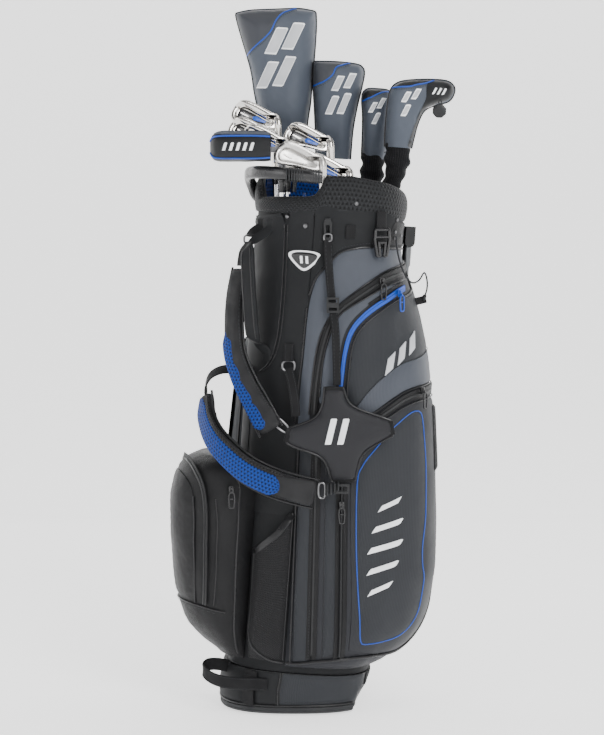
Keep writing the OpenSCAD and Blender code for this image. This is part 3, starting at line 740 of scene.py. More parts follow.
def strapping(name, color):
    """Flat nylon webbing: herringbone along its length."""
    m = Nodes(name)
    a, c = m.waves(0.0028, turn=0.6)[0], m.waves(0.0011)[0]
    height = m.ramp(m.math("ADD", m.math("MULTIPLY", m.math("ADD", a, c), 0.22), 0.5),
                    [(0.1, 0.0), (0.9, 1.0)])
    worn = m.noise(0.02, 4)
    tone = m.mix(height, shade(color, 0.5), m.mix(worn, shade(color, 1.0), shade(color, 1.5)))
    return m.done(tone, m.ramp(worn, [(0.3, 0.6), (0.7, 0.78)]),
                  m.bump(height, 0.5, 0.0006), Sheen_Weight=0.04,
                  Specular_IOR_Level=0.2)


def moulded(name, color, rough=0.38, grain=0.35, coat=0.0):
    """Moulded plastic or rubber: fine spark grain, handling marks."""
    m = Nodes(name)
    fine = m.noise(0.0007, 2)
    worn = m.noise(0.03, 5)
    tone = m.mix(worn, shade(color, 0.8), shade(color, 1.3))
    return m.done(tone, m.ramp(worn, [(0.35, rough - 0.08), (0.65, rough + 0.12)]),
                  m.bump(fine, grain, 0.0002), Coat_Weight=coat, Specular_IOR_Level=0.35)


def metal(name, color, rough=0.12, brushed=0.0, tarnish=0.9):
    """Plated or bare metal: faint brushing and handling marks."""
    m = Nodes(name)
    worn = m.noise(0.018, 5)
    stretched = m.new("ShaderNodeMapping", Vector=m.coords("Object"), Scale=(900, 900, 25))
    lines = m.new("ShaderNodeTexNoise", Vector=stretched.outputs[0], Scale=1.0, Detail=2.0)
    tone = m.mix(worn, shade(color, tarnish), color)
    return m.done(tone, m.ramp(worn, [(0.3, rough * 0.8), (0.7, rough * 1.35)]),
                  m.bump(lines.outputs["Fac"], 0.02 + brushed, 0.0001), metallic=1.0)


def grip_rubber(name, color):
    """Cord-pattern rubber grip."""
    m = Nodes(name)
    a, b = m.waves(0.004, turn=math.pi / 4)
    height = m.ramp(m.math("ADD", m.math("MULTIPLY", m.math("MULTIPLY", a, b), 0.5), 0.5),
                    [(0.4, 0.0), (0.7, 1.0)])
    worn = m.noise(0.02, 4)
    tone = m.mix(height, shade(color, 0.5), m.mix(worn, color, shade(color, 1.6)))
    return m.done(tone, m.ramp(worn, [(0.3, 0.7), (0.7, 0.9)]), m.bump(height, 0.6, 0.0005),
                  Specular_IOR_Level=0.2)


PU = leatherette("pu_black", linear(20, 21, 23), 0.66)
PU_HUB = leatherette("pu_hub", linear(30, 30, 33), 0.5, grain=0.0012, fold=0.4)
NYLON = fine_weave("nylon_black", linear(14, 14, 16), 0.0012, 0.4, 0.5, 0.1, 1.0)
NYLON_SOFT = fine_weave("nylon_soft", linear(18, 18, 20), 0.0012, 0.35, 0.55, 0.12, 0.6)
GREY = fine_weave("grey_weave", linear(66, 70, 78), 0.0024, 0.42, 0.5, 0.12)
CHARCOAL = fine_weave("charcoal_weave", linear(37, 39, 43), 0.0024, 0.38, 0.55, 0.1)
DARK = fine_weave("dark_weave", linear(36, 37, 41), 0.0024, 0.35, 0.55, 0.1)
MESH_BLACK = spacer_mesh("mesh_black", linear(29, 30, 32), 0.0058)
MESH_FINE = spacer_mesh("mesh_fine", linear(26, 26, 28), 0.0032, hole_shade=0.3)
MESH_PAD = spacer_mesh("mesh_pad", linear(26, 26, 28), 0.0050)
MESH_BLUE = spacer_mesh("mesh_blue", linear(6, 50, 126), 0.0054, hole_shade=0.1)
WEB = strapping("webbing", linear(18, 18, 20))
TRIM = moulded("piping_black", linear(20, 20, 22), 0.34, 0.2)
BLUE = moulded("piping_blue", linear(18, 66, 160), 0.4, 0.2)
PLASTIC = moulded("moulded_black", linear(17, 18, 20), 0.4)
GLOSS = moulded("gloss_black", linear(22, 22, 24), 0.22, 0.15, coat=0.3)
RUBBER = moulded("foot_rubber", linear(33, 34, 36), 0.62, 0.8)
WHITE = moulded("print_white", linear(232, 233, 235), 0.45, 0.3)
SILVER = moulded("print_silver", linear(178, 180, 184), 0.4, 0.5)
SOCK = knit("knit_black", linear(26, 26, 28))
COVER = fine_weave("cover_grey", linear(71, 77, 87), 0.0026, 0.3, 0.5, 0.14, 1.0)
COVER_DARK = leatherette("cover_charcoal", linear(54, 56, 61), 0.42)
COVER_BLACK = leatherette("cover_black", linear(22, 23, 25), 0.4)
CHROME = metal("chrome", (0.72, 0.695, 0.66, 1), 0.1)
SATIN = metal("satin_chrome", (0.62, 0.605, 0.585, 1), 0.26, 0.12)
SHAFT = metal("shaft_chrome", (0.82, 0.82, 0.83, 1), 0.12)
LEG = metal("leg_lacquer", (0.13, 0.135, 0.14, 1), 0.3, 0.08)
RING = metal("ring_steel", (0.16, 0.16, 0.165, 1), 0.3, 0.05)
STEEL = metal("rod_steel", (0.55, 0.56, 0.58, 1), 0.25, 0.08)
GRAPHITE = moulded("graphite", linear(40, 42, 46), 0.25, 0.1, coat=0.5)
HEAD = moulded("head_lacquer", linear(26, 28, 32), 0.18, 0.05, coat=0.6)
PUTTER = metal("putter_head", (0.2, 0.2, 0.21, 1), 0.3, 0.1)
GRIP = grip_rubber("grip_rubber", linear(34, 34, 36))
THREAD = moulded("thread", linear(44, 45, 48), 0.7, 0.4)
BADGE_BLUE = moulded("badge_blue", linear(24, 84, 190), 0.3, 0.2, coat=0.3)


# ---- elastic loop for the rain hood -----------------------------------------

BUNGEE_D_M = 0.0028
BUNGEE_M = [(0.166, -0.084, 0.790), (0.168, -0.082, 0.768), (0.174, -0.076, 0.744),
            (0.184, -0.066, 0.722), (0.195, -0.052, 0.712), (0.207, -0.036, 0.716),
            (0.216, -0.022, 0.728), (0.221, -0.016, 0.716), (0.221, -0.016, 0.700),
            (0.216, -0.022, 0.686)]


def make_bungee():
    route = smooth(BUNGEE_M, 3)
    curve = bpy.data.curves.new("bungee_loop", "CURVE")
    curve.dimensions = "3D"
    curve.bevel_depth = BUNGEE_D_M / 2
    curve.bevel_resolution = 3
    curve.use_fill_caps = True
    spline = curve.splines.new("POLY")
    spline.points.add(len(route) - 1)
    for point, place in zip(spline.points, route):
        point.co = (*place, 1)
    curve.materials.append(strapping("bungee_sleeve", linear(40, 41, 44)))
    obj = bpy.data.objects.new("bungee_loop", curve)
    bpy.context.collection.objects.link(obj)
    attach(obj, "bag")
    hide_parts("bungee_cord")


make_bungee()


# ---- trunk and yoke ---------------------------------------------------------

def make_trunk():
    core = Geo()
    angles = np.linspace(0, 360, 72, endpoint=False)
    rings = [off_trunk(angles, np.full(72, w), out) for w, out in
             [(69, -2.5), (69, -0.6), (90, -0.3), *[(w, -0.3) for w in range(130, 800, 45)],
              (812, -0.3), (825, -0.6), (825, -2.5), (600, -2.5), (300, -2.5)]]
    loft(core, rings, closed_v=True)
    core.make("trunk_core", PU, slot="body_pu", replaces=["body_shell"])

    top = [(az, yoke_top(az)) for az in range(-174, -105, 4)]
    seam = [(-126, 806), (-125, 748), (-124.5, 683), (-125.5, 627), (-128, 597), (-133, 574),
            (-140, 562)]
    left_edge = [(-174, 330), (-174, 808)]
    panel = Geo()
    left_top = [p for p in top if p[0] < -127]
    patch(panel, trunk, [*left_edge, *left_top, *smooth([(a - 1.2, w) for a, w in seam]),
                         (-150, 556), (-150, 330)], base=0.6, rise=1.0, folds=0.8)
    right_top = [p for p in top if p[0] > -125]
    patch(panel, trunk, [(-104, 330), (-104, 838), *right_top[::-1],
                         *smooth([(a + 1.0, w) for a, w in seam]), (-147, 552), (-147, 330)],
          base=0.6, rise=1.0, folds=0.8, seed=4.0)
    panel.make("yoke_left", PU, slot="body_pu")

    # Yoke above the grey panel: its lower edge is the piped arc
    arc_top = [(2, 778), (-30, 779), (-56, 779), (-70, 774), (-80, 767), (-88, 750),
               (-98, 724), (-103, 694)]
    yoke = Geo()
    right = [(az, yoke_top(az)) for az in range(-103, 3, 4)]
    patch(yoke, face, [*right, (2, 820), *smooth(arc_top)], base=0.8, rise=0.9, folds=0.7,
          seed=2.0)
    yoke.make("yoke_right", PU, slot="body_pu")

    back = Geo()
    for start, end, seed in ((4, 62, 1.0), (64, 118, 2.0), (120, 184, 3.0)):
        edge = [(az, 815) for az in range(start, end + 1, 4)]
        patch(back, trunk, [*edge, (end, 815), (end, 640), (start, 640)], base=0.6,
              rise=1.0, folds=0.8, seed=seed)
    back.make("yoke_back", PU, slot="body_pu")

    lower = Geo()
    dark = Geo()
    for geo, start, end, low, high, seed in (
            (lower, 8, 24, 90, 634, 0.0), (lower, 52, 83, 90, 634, 3.0),
            (lower, 26, 50, 390, 634, 5.0), (dark, 158, 184, 425, 634, 0.0),
            (dark, 85, 155, 90, 146, 0.0)):
        patch(geo, trunk, [(start, low), (end, low), (end, high), (start, high)], base=0.5,
              rise=1.0, folds=1.0, seed=seed)
    lower.make("trunk_back_panels", GREY, slot="grey_weave")
    dark.make("trunk_side_panels", NYLON, slot="black_fabric")

    trim = Geo()
    piping(trim, trunk, smooth([(a - 1.4, w) for a, w in seam]), 1.0, 1.2)
    piping(trim, trunk, smooth([(a + 1.2, w) for a, w in seam]), 1.0, 1.2)
    piping(trim, trunk, smooth([(-107.5, 470), (-107, 546), (-105.5, 596), (-105, 640),
                                (-104.5, 672)]), 1.7, 1.6)
    for az in (3, 63, 119, 185):
        piping(trim, trunk, [(az, 640), (az, 812)], 1.3, 1.2)
    for az in (7, 25, 51, 84, 157):
        low = 390 if az in (25, 51) else 425 if az == 157 else 92
        piping(trim, trunk, [(az, low), (az, 634)], 1.3, 1.0)
    piping(trim, trunk, [(az, 637) for az in np.linspace(4, 184, 60)], 1.6, 1.0)
    piping(trim, face, smooth(arc_top), 1.8, 1.8)
    trim.make("trunk_piping", TRIM, slot="body_pu")

    seams = Geo()
    stitches(seams, trunk, smooth([(-116, 838), *[(az, yoke_top(az) - 6)
                                   for az in range(-112, -105, 3)]]), 1.7)
    stitches(seams, face, [(az, yoke_top(az) - 5.5)
                           for az in range(-102, 1, 4)], 1.8)
    stitches(seams, trunk, [(az, yoke_top(az) - 5.5)
                            for az in range(-172, -127, 4)], 1.8)
    stitches(seams, face, smooth([(a, w + 6) for a, w in arc_top]), 1.9)
    seams.make("yoke_stitching", THREAD, slot="body_pu")

    metalwork = Geo()
    rivet(metalwork, trunk, -124.5, 819, 3.6, 1.6)
    rivet(metalwork, face, -70.5, 848, 3.4, 1.4)
    rivet(metalwork, face, -34, 826, 3.0, 1.4)
    rivet(metalwork, trunk, -110.5, 806, 4.0, 1.4)
    for az in (20, 80, 140, 180):
        rivet(metalwork, trunk, az, 806, 3.2, 1.4)
    metalwork.make("yoke_rivets", RING, slot="satin_steel")

    # Hinge strip of the rain hood at the right end of the yoke
    strip = Geo()
    patch(strip, face, [(-42, 785), (-18, 785), (-17, 818), (-36, 824)], base=2.0, rise=1.4,
          fall=4)
    strip.make("hood_strip", NYLON, slot="black_fabric")
    eyes = Geo()
    for w in (796, 806):
        rivet(eyes, face, -34, w, 2.8, 3.3)
    rivet(eyes, face, -24, 800, 2.8, 3.3)
    eyes.make("hood_strip_rivets", RING, slot="satin_steel")

    # Shield badge: a raised rounded triangle with a pale rim
    outline = smooth([(-122, 757), (-119, 764), (-109, 766), (-99, 764), (-96, 757),
                      (-101.5, 743), (-109, 733), (-116.5, 743)], 6, closed=True)
    badge, rim = Geo(), Geo()
    middle = np.array([-109, 753.0])
    patch(rim, trunk, outline, base=4.2, rise=0.6, fall=2, thick=4.2, step=3)
    patch(badge, trunk, middle + (outline - middle) * 0.8, base=4.9, rise=0.7, fall=3,
          thick=3.0, step=3)
    badge.make("shield_badge", GLOSS, slot="body_pu")
    for shift in (-2.2, 2.2):
        patch(rim, trunk, [(-109.6 + shift, 745), (-107.6 + shift, 745),
                           (-108.4 + shift, 757), (-110.4 + shift, 757)],
              base=5.8, rise=0.5, fall=1.5, thick=1.4, step=2)
    rim.make("shield_badge_rim", WHITE, slot="grey_weave")


make_trunk()


# ---- front panels and the big pocket ----------------------------------------

ZIP_CHEST = [(-2, 745), (-14, 743), (-27, 739), (-44, 729), (-56.5, 712), (-68, 692),
             (-79, 669), (-86, 640), (-90, 600), (-92, 550), (-92, 500)]
ZIP_BLUE = [(-25, 715), (-33, 709), (-41, 700), (-53.5, 682), (-63.5, 660), (-69.5, 635),
            (-72.5, 600), (-73.5, 561), (-74, 525)]
ZIP_SIDE = [(1, 549), (-10, 548), (-20, 544), (-29, 539), (-38, 527), (-47, 510), (-56, 492)]
PIPED = [(1, 712), (-8, 711), (-15.5, 708), (-37, 694), (-50, 675), (-62, 649), (-67.5, 619),
         (-69, 578), (-69.5, 530)]
DOTTED = [(1, 617), (-10, 612), (-22, 603), (-36.5, 591), (-50, 565), (-58.5, 539), (-63, 520)]
OUTLINE = [(-42.5, 483), (-36.5, 498), (-30, 512), (-25.5, 515), (-22.5, 507), (-20.8, 466),
           (-20, 416), (-20.5, 342), (-22, 292), (-21.5, 259), (-19.5, 233), (-20, 178),
           (-24, 148), (-32, 133), (-46, 127), (-50.5, 131), (-53, 168), (-57.5, 268),
           (-60, 391), (-57.5, 424), (-51, 452)]


def leaning(az_low, az_high, w_low, w_high):
    """Line that stands upright to the eye while the trunk leans."""
    return [(az_low + (az_high - az_low) * k, w_low + (w_high - w_low) * k)
            for k in np.linspace(0, 1, 12)]


def make_big_pocket():
    body = Geo()
    angles = np.concatenate([np.arange(-101.5, 6.7, 1.8), [6.4]])
    rings = []
    for w in [80, 84, 90, *range(98, 750, 13), 750]:
        back = off_trunk(angles[::-1], np.full(len(angles), w), LIE_GAP)
        share = 0.3 if w == 80 else 0.75 if w == 84 else 1.0
        front = off_trunk(angles, w, 0.9 + (big_stand_off(angles, w) - 0.9) * share)
        rings.append(np.concatenate([front, back]))
    loft(body, rings)
    body.make("big_pocket_shell", DARK, slot="grey_weave", replaces=["big_pocket"])

    grey = Geo()
    arc_left = [(-57, 777), (-70, 772), (-80, 765), (-87, 749), (-97, 724), (-101.5, 694),
                (-103.5, 653), (-104, 596), (-105, 546), (-105, 470)]
    zip_up = [(-95.5, 470), (-95, 546), (-94, 600), (-90, 640), (-81, 676), (-69, 702),
              (-57, 724), (-44, 741), (-27, 751), (-14, 755), (2, 758)]
    patch(grey, face, [(2, 776), (-30, 777), *smooth(arc_left), *smooth(zip_up)], base=0.4,
          rise=1.4, fall=12, folds=2.2, fold_size=55)
    zip_down = [(-24, 724), (-45, 715), (-57, 699), (-69, 681), (-79.5, 660), (-84.5, 630),
                (-88, 590), (-89, 520)]
    blue_up = [(-77, 520), (-77, 561), (-76, 600), (-73, 638), (-66, 666), (-56, 688),
               (-44, 705), (-32, 716)]
    patch(grey, face, [*smooth(zip_down), *smooth(blue_up)], base=0.4, rise=1.2, fall=9,
          folds=1.6, fold_size=50, seed=6.0)
    below = [(a, w - 2) for a, w in DOTTED]
    zip3_up = [(-62, 492), (-50, 519), (-41, 537), (-30, 552), (-18, 559), (2, 562)]
    patch(grey, face, [*smooth(below), (-66, 500), *smooth(zip3_up)], base=0.4, rise=1.3,
          fall=10, folds=2.4, fold_size=60, seed=9.0)
    grey.make("front_panels_grey", GREY, slot="grey_weave")

    upper = Geo()
    patch(upper, face, [*smooth(PIPED), (-66, 520), *smooth(DOTTED[::-1])], base=0.4,
          rise=1.3, fall=10, folds=2.4, fold_size=65, seed=12.0)
    upper.make("front_panel_upper", CHARCOAL, slot="grey_weave")

    lower = Geo()
    patch(lower, face, [(2, 532), (-10, 533), (-20, 533), (-28, 529), (-37.5, 517),
                        (-46, 500), (-57, 474), (-64, 430), (-62, 330), (-58, 200),
                        (-56.5, 116), (-36, 107), (-18, 110), (-8, 130), (-2, 170), (2, 240)],
          base=0.3, rise=1.0, fall=8, folds=1.6, fold_size=80, seed=15.0)
    lower.make("front_panel_lower", DARK, slot="grey_weave")
    inset = Geo()
    patch(inset, face, smooth(OUTLINE, 6, closed=True), base=1.4, rise=1.3, fall=8,
          thick=1.4, folds=1.4, fold_size=80, seed=18.0)
    inset.make("front_panel_inset", CHARCOAL, slot="grey_weave")

    strips = Geo()
    patch(strips, face, [*leaning(-94.5, -101.5, 90, 440), *leaning(-82.5, -90, 93, 440)[::-1]],
          base=0.3, rise=1.3, fall=6, folds=0.8)
    patch(strips, face, [*leaning(-72.5, -80.5, 100, 440), *leaning(-64.5, -72, 110, 440)[::-1]],
          base=0.3, rise=1.3, fall=6, folds=0.8, seed=2.0)
    strips.make("front_strips", CHARCOAL, slot="grey_weave")

    tapes = Geo()
    ribbon(tapes, face, smooth(ZIP_CHEST), (22, 17, 12, 12), 2.2, 1.0)
    ribbon(tapes, face, smooth(ZIP_SIDE), (20, 17, 10), 2.2, 1.0)
    for low, high in ((-80.8, -88.2), (-62, -69.5)):
        for shift in (-2.1, 2.1):
            ribbon(tapes, face, leaning(low + shift, high + shift, 96, 440), 8, 1.6, 1.0)
    ribbon(tapes, face, smooth([(-27, 721), (-36, 715), (-46, 704), (-58, 686)]), (7, 5), 1.6,
           1.2)
    tapes.make("zip_tapes_front", NYLON, slot="black_fabric")

    teeth = Geo()
    coil(teeth, face, smooth(ZIP_CHEST[1:]), 2.4)
    coil(teeth, face, smooth(ZIP_SIDE[1:]), 2.4)
    for low, high in ((-80.8, -88.2), (-62, -69.5)):
        coil(teeth, face, leaning(low, high, 104, 440), 2.2, 4.2)
    teeth.make("zip_teeth_front", PLASTIC, slot="black_fabric", replaces=["zip_tracks"])

    blue = Geo()
    ribbon(blue, face, smooth(ZIP_BLUE), (11, 9, 7, 6), 2.4, 1.2)
    coil(blue, face, smooth(ZIP_BLUE[1:]), 3.0, 3.4)
    line = even(np.concatenate([smooth(OUTLINE, 6, closed=True),
                                smooth(OUTLINE, 6, closed=True)[:1]]) * [PER_DEGREE, 1], 4)
    line = line / [PER_DEGREE, 1]
    piping(blue, face, line[:-1], 1.0, 1.6, closed=True)
    blue.make("blue_zip_and_outline", BLUE, slot="blue_plastic")

    cords = Geo()
    for line, r in ((PIPED, 1.7), ([(a - 0.5, w + 11) for a, w in ZIP_SIDE], 1.2),
                    ([(a + 0.5, w - 11) for a, w in ZIP_SIDE], 1.2),
                    ([(2, 757), (-14, 755), (-27, 750.5), (-44, 740.5), (-57, 723), (-69, 701.5),
                      (-81, 675), (-90, 640), (-94, 600), (-95.5, 546), (-96, 500)], 1.4),
                    ([(2, 731), (-12, 731), (-28, 727), (-45, 716.5), (-57, 700), (-69, 682),
                      (-79.5, 661), (-84.5, 630), (-88, 590), (-89, 530)], 1.4)):
        piping(cords, face, smooth(line), r, 1.6)
    piping(cords, face, leaning(-97, -103.2, 88, 440), 1.6, 1.4)
    piping(cords, face, smooth([(-100, 86), (-90, 88), (-67, 97), (-50, 103), (-36, 104),
                                (-20, 106), (-10, 118), (-4, 146), (-1, 200), (2, 300),
                                (2.5, 450), (2.5, 600), (2, 700), (1, 758)], 8), 2.6, 1.2)
    cords.make("front_piping", TRIM, slot="body_pu")

    threads = Geo()
    stitches(threads, face, smooth(DOTTED), 2.2, 4.4, 2.4, 0.6)
    for low, high, foot in ((-94, -101, 96), (-83, -90.5, 96), (-72, -80, 104),
                            (-65, -72.5, 112)):
        stitches(threads, face, leaning(low, high, foot, 430), 1.9, 5, 3, 0.4)
    stitches(threads, face, smooth([(a - 2.2, w - 4) for a, w in PIPED]), 2.0, 5, 3, 0.4)
    threads.make("front_stitching", THREAD, slot="grey_weave")

    # Plain slanted bars in place of the printed marks
    marks = Geo()
    for k, (w, wide) in enumerate([(208, 11), (243, 15), (278, 17), (313, 15), (348, 11)]):
        az = -43 + 0.6 * k
        patch(marks, face, [(az - wide / 2 - 2, w), (az + wide / 2 - 2, w + 16),
                            (az + wide / 2, w + 27), (az - wide / 2, w + 11)],
              base=2.9, rise=0.7, fall=2, thick=1.3, step=4)
    marks.make("front_bars", WHITE, slot="grey_weave")
    patch_bars = Geo()
    for k in range(3):
        az, w = -44 + 8.5 * k, 592 + 17 * k
        patch(patch_bars, face, [(az - 3.5, w - 20), (az + 1.5, w - 8), (az + 3.5, w + 20),
                                 (az - 1.5, w + 8)], base=3.2, rise=0.7, fall=2, thick=1.4,
              step=4)
    patch_bars.make("chest_bars", SILVER, slot="grey_weave")

    tab = Geo()
    patch(tab, face, [(-9, 413), (1, 413), (1, 521), (-9, 521)], base=3.0, rise=2.4, fall=4,
          thick=3.4, step=6)
    tab.make("side_tab", WEB, slot="webbing")


make_big_pocket()


# ---- side, rear and mesh pockets --------------------------------------------

def pocket_shell(name, surface, az_low, az_high, heights, material, back, replaces, step=2.5,
                 folds=1.6, seed=0.0):
    """Closed pocket between its outer surface and the trunk, with soft folds."""
    geo = Geo()
    angles = np.linspace(az_low, az_high, int((az_high - az_low) / step) + 2)
    rings = []
    for k, w in enumerate(heights):
        end = min(k, len(heights) - 1 - k)
        front = surface(angles, np.full(len(angles), w), 0.0)
        away = unit(front - on_lean(0, 0, w))
        flat = np.stack([angles * 2.2, np.full(len(angles), w * 0.5),
                         np.zeros(len(angles))], -1)
        edge = np.clip(np.minimum(angles - az_low, az_high - angles) / 8, 0, 1)
        amount = folds * edge * min(1.0, end / 3)
        front = front + away * (amount * ripple(flat, 42, seed))[:, None]
        inner = off_trunk(angles[::-1], w, back)
        rings.append(np.concatenate([front, inner]))
    loft(geo, rings)
    return geo.make(name, material, slot="black_fabric", replaces=replaces)


def pocket_zip(name, surface, arch, width):
    """Arched zip: its tape and its teeth."""
    tape, teeth = Geo(), Geo()
    ribbon(tape, surface, smooth(arch), width, 2.0, 1.2)
    tape.make(name + "_zip_tape", NYLON_SOFT, slot="black_fabric")
    coil(teeth, surface, smooth(arch), 2.6)
    teeth.make(name + "_zip_teeth", PLASTIC, slot="black_fabric")


def make_pockets():
    pocket_shell("left_pocket_shell", left_face, 162, 223.5,
                 [84, 86, 90, 96, *range(104, 400, 12), 403, 410, 415, 417], NYLON, LIE_GAP,
                 ["left_pocket"], 2.0, 2.4)
    arch = [(212.5, 172), (213.5, 210), (214, 260), (214, 310), (213, 350), (210, 378),
            (205, 396), (198, 404), (190, 405), (182, 402), (175, 392), (171, 372),
            (169, 330), (168, 260), (168, 190)]
    pocket_zip("left", left_face, arch, 17)
    trim = Geo()
    for shift in (4.6, -4.6):
        line = [(a + shift * (1 if a > 195 else -1), w + (abs(shift) * 0.4 if w > 390 else 0))
                for a, w in arch if a > 205 or a < 176]
        piping(trim, left_face, smooth(line[:5]), 1.3, 1.6)
    piping(trim, left_face, smooth([(222, 92), (222.5, 150), (222.6, 240), (222.6, 330),
                                    (222, 385), (218, 408)]), 1.9, 1.2)
    piping(trim, left_face, smooth([(164, 168), (175, 170), (185, 171), (195, 171),
                                    (205, 170), (213, 167), (221, 162)]), 1.5, 1.4)
    piping(trim, left_face, smooth([(163.5, 92), (163.2, 200), (163.2, 330), (164, 400)]),
           1.9, 1.2)
    trim.make("left_pocket_piping", TRIM, slot="body_pu")
    front = Geo()
    patch(front, left_face, smooth([(208, 180), (209, 250), (209, 320), (207.5, 355),
                                    (203, 376), (196, 386), (188, 386), (180, 380),
                                    (175.5, 360), (174, 320), (173.5, 250), (173.5, 180),
                                    (173.5, 180), (190, 177), (208, 180), (208, 180)], 5),
          base=0.8, rise=2.2, fall=16, folds=3.0, fold_size=48, step=8)
    front.make("left_pocket_front", NYLON, slot="black_fabric")
    threads = Geo()
    stitches(threads, left_face, smooth([(165, 163), (185, 166), (205, 165), (219, 158)]), 1.2,
             5, 3, 0.4)
    threads.make("left_pocket_stitching", THREAD, slot="black_fabric")

    pocket_shell("rear_pocket_shell", rear_face, 84, 156,
                 [150, 153, 158, 164, *range(172, 628, 14), 630, 632], CHARCOAL, LIE_GAP,
                 ["rear_pocket"], 2.4, 2.0, 3.0)
    rear_arch = [(92, 190), (92, 400), (93, 520), (98, 570), (108, 592), (120, 598),
                 (134, 590), (143, 570), (147, 520), (148, 400), (148, 190)]
    pocket_zip("rear", rear_face, rear_arch, 16)
    edge = Geo()
    piping(edge, rear_face, smooth([(86, 170), (85.5, 400), (86.5, 560), (92, 610)]), 1.8, 1.0)
    piping(edge, rear_face, smooth([(154.5, 170), (155, 400), (154, 560), (148, 606)]), 1.8,
           1.0)
    piping(edge, rear_face, smooth([(92, 186), (106, 184), (120, 184), (134, 184), (148, 186)]),
           1.4, 1.4)
    edge.make("rear_pocket_piping", TRIM, slot="body_pu")
    cuff = Geo()
    patch(cuff, rear_face, [(97, 200), (143, 200), (142, 330), (98, 330)], base=0.8, rise=2.0,
          fall=12, folds=1.6)
    cuff.make("rear_pocket_panel", GREY, slot="grey_weave")

    pocket_shell("ball_pocket_shell", ball_face, 25, 51,
                 [96, 99, 104, 110, *range(118, 362, 12), 366, 372, 376, 378], CHARCOAL,
                 LIE_GAP + BALL_BACK, ["ball_pocket"], 1.6, 1.6, 6.0)
    ball_line = [(28.5, 130), (28.5, 240), (29, 310), (32, 338), (38, 346), (44, 338),
                 (47, 310), (47.5, 240), (47.5, 130)]
    pocket_zip("ball", ball_face, ball_line, 14)

    # Open mesh pouch: outer cloth, turned over the bound top edge, and down inside
    pouch = Geo()
    angles = np.linspace(228, 257, 26)
    top = np.interp(angles, *zip(*MESH_TOP))
    rings = []
    for share, out in [(0.0, 0.0), (0.02, 0.2), (0.06, 0.4), *[(k, 0.5) for k in
                                                              np.linspace(0.12, 0.96, 22)],
                       (1.0, 0.2), (1.0, -1.4), (0.9, -2.0), (0.5, -2.2), (0.14, -2.2)]:
        w = 88 + (top - 88) * share
        flat = np.stack([angles * 2.2, w * 0.6, np.zeros(26)], -1)
        soft = 1.3 * ripple(flat, 34, 5.0) * min(1, share * 6) * (share < 0.97)
        rings.append(mesh_face(angles, w, np.maximum(out + soft, -2.4)))
    loft(pouch, rings, closed_u=False)
    pouch.make("mesh_pouch", MESH_FINE, slot="mesh_black", replaces=["mesh_pocket"])
    bound = Geo()
    ribbon(bound, mesh_face, [(az, float(np.interp(az, *zip(*MESH_TOP))) - 2)
                              for az in np.linspace(228.5, 256.5, 12)], 11, 3.0, 0.2)
    piping(bound, mesh_face, smooth([(229, 262), (228.6, 200), (229, 160), (231, 128),
                                     (238, 104), (247, 90), (257, 86)]), 2.0, 1.0)
    piping(bound, mesh_face, [(256.6, 90), (256.6, 200), (256.6, 336)], 1.8, 1.0)
    bound.make("mesh_pouch_binding", TRIM, slot="body_pu")


make_pockets()


# ---- base -------------------------------------------------------------------

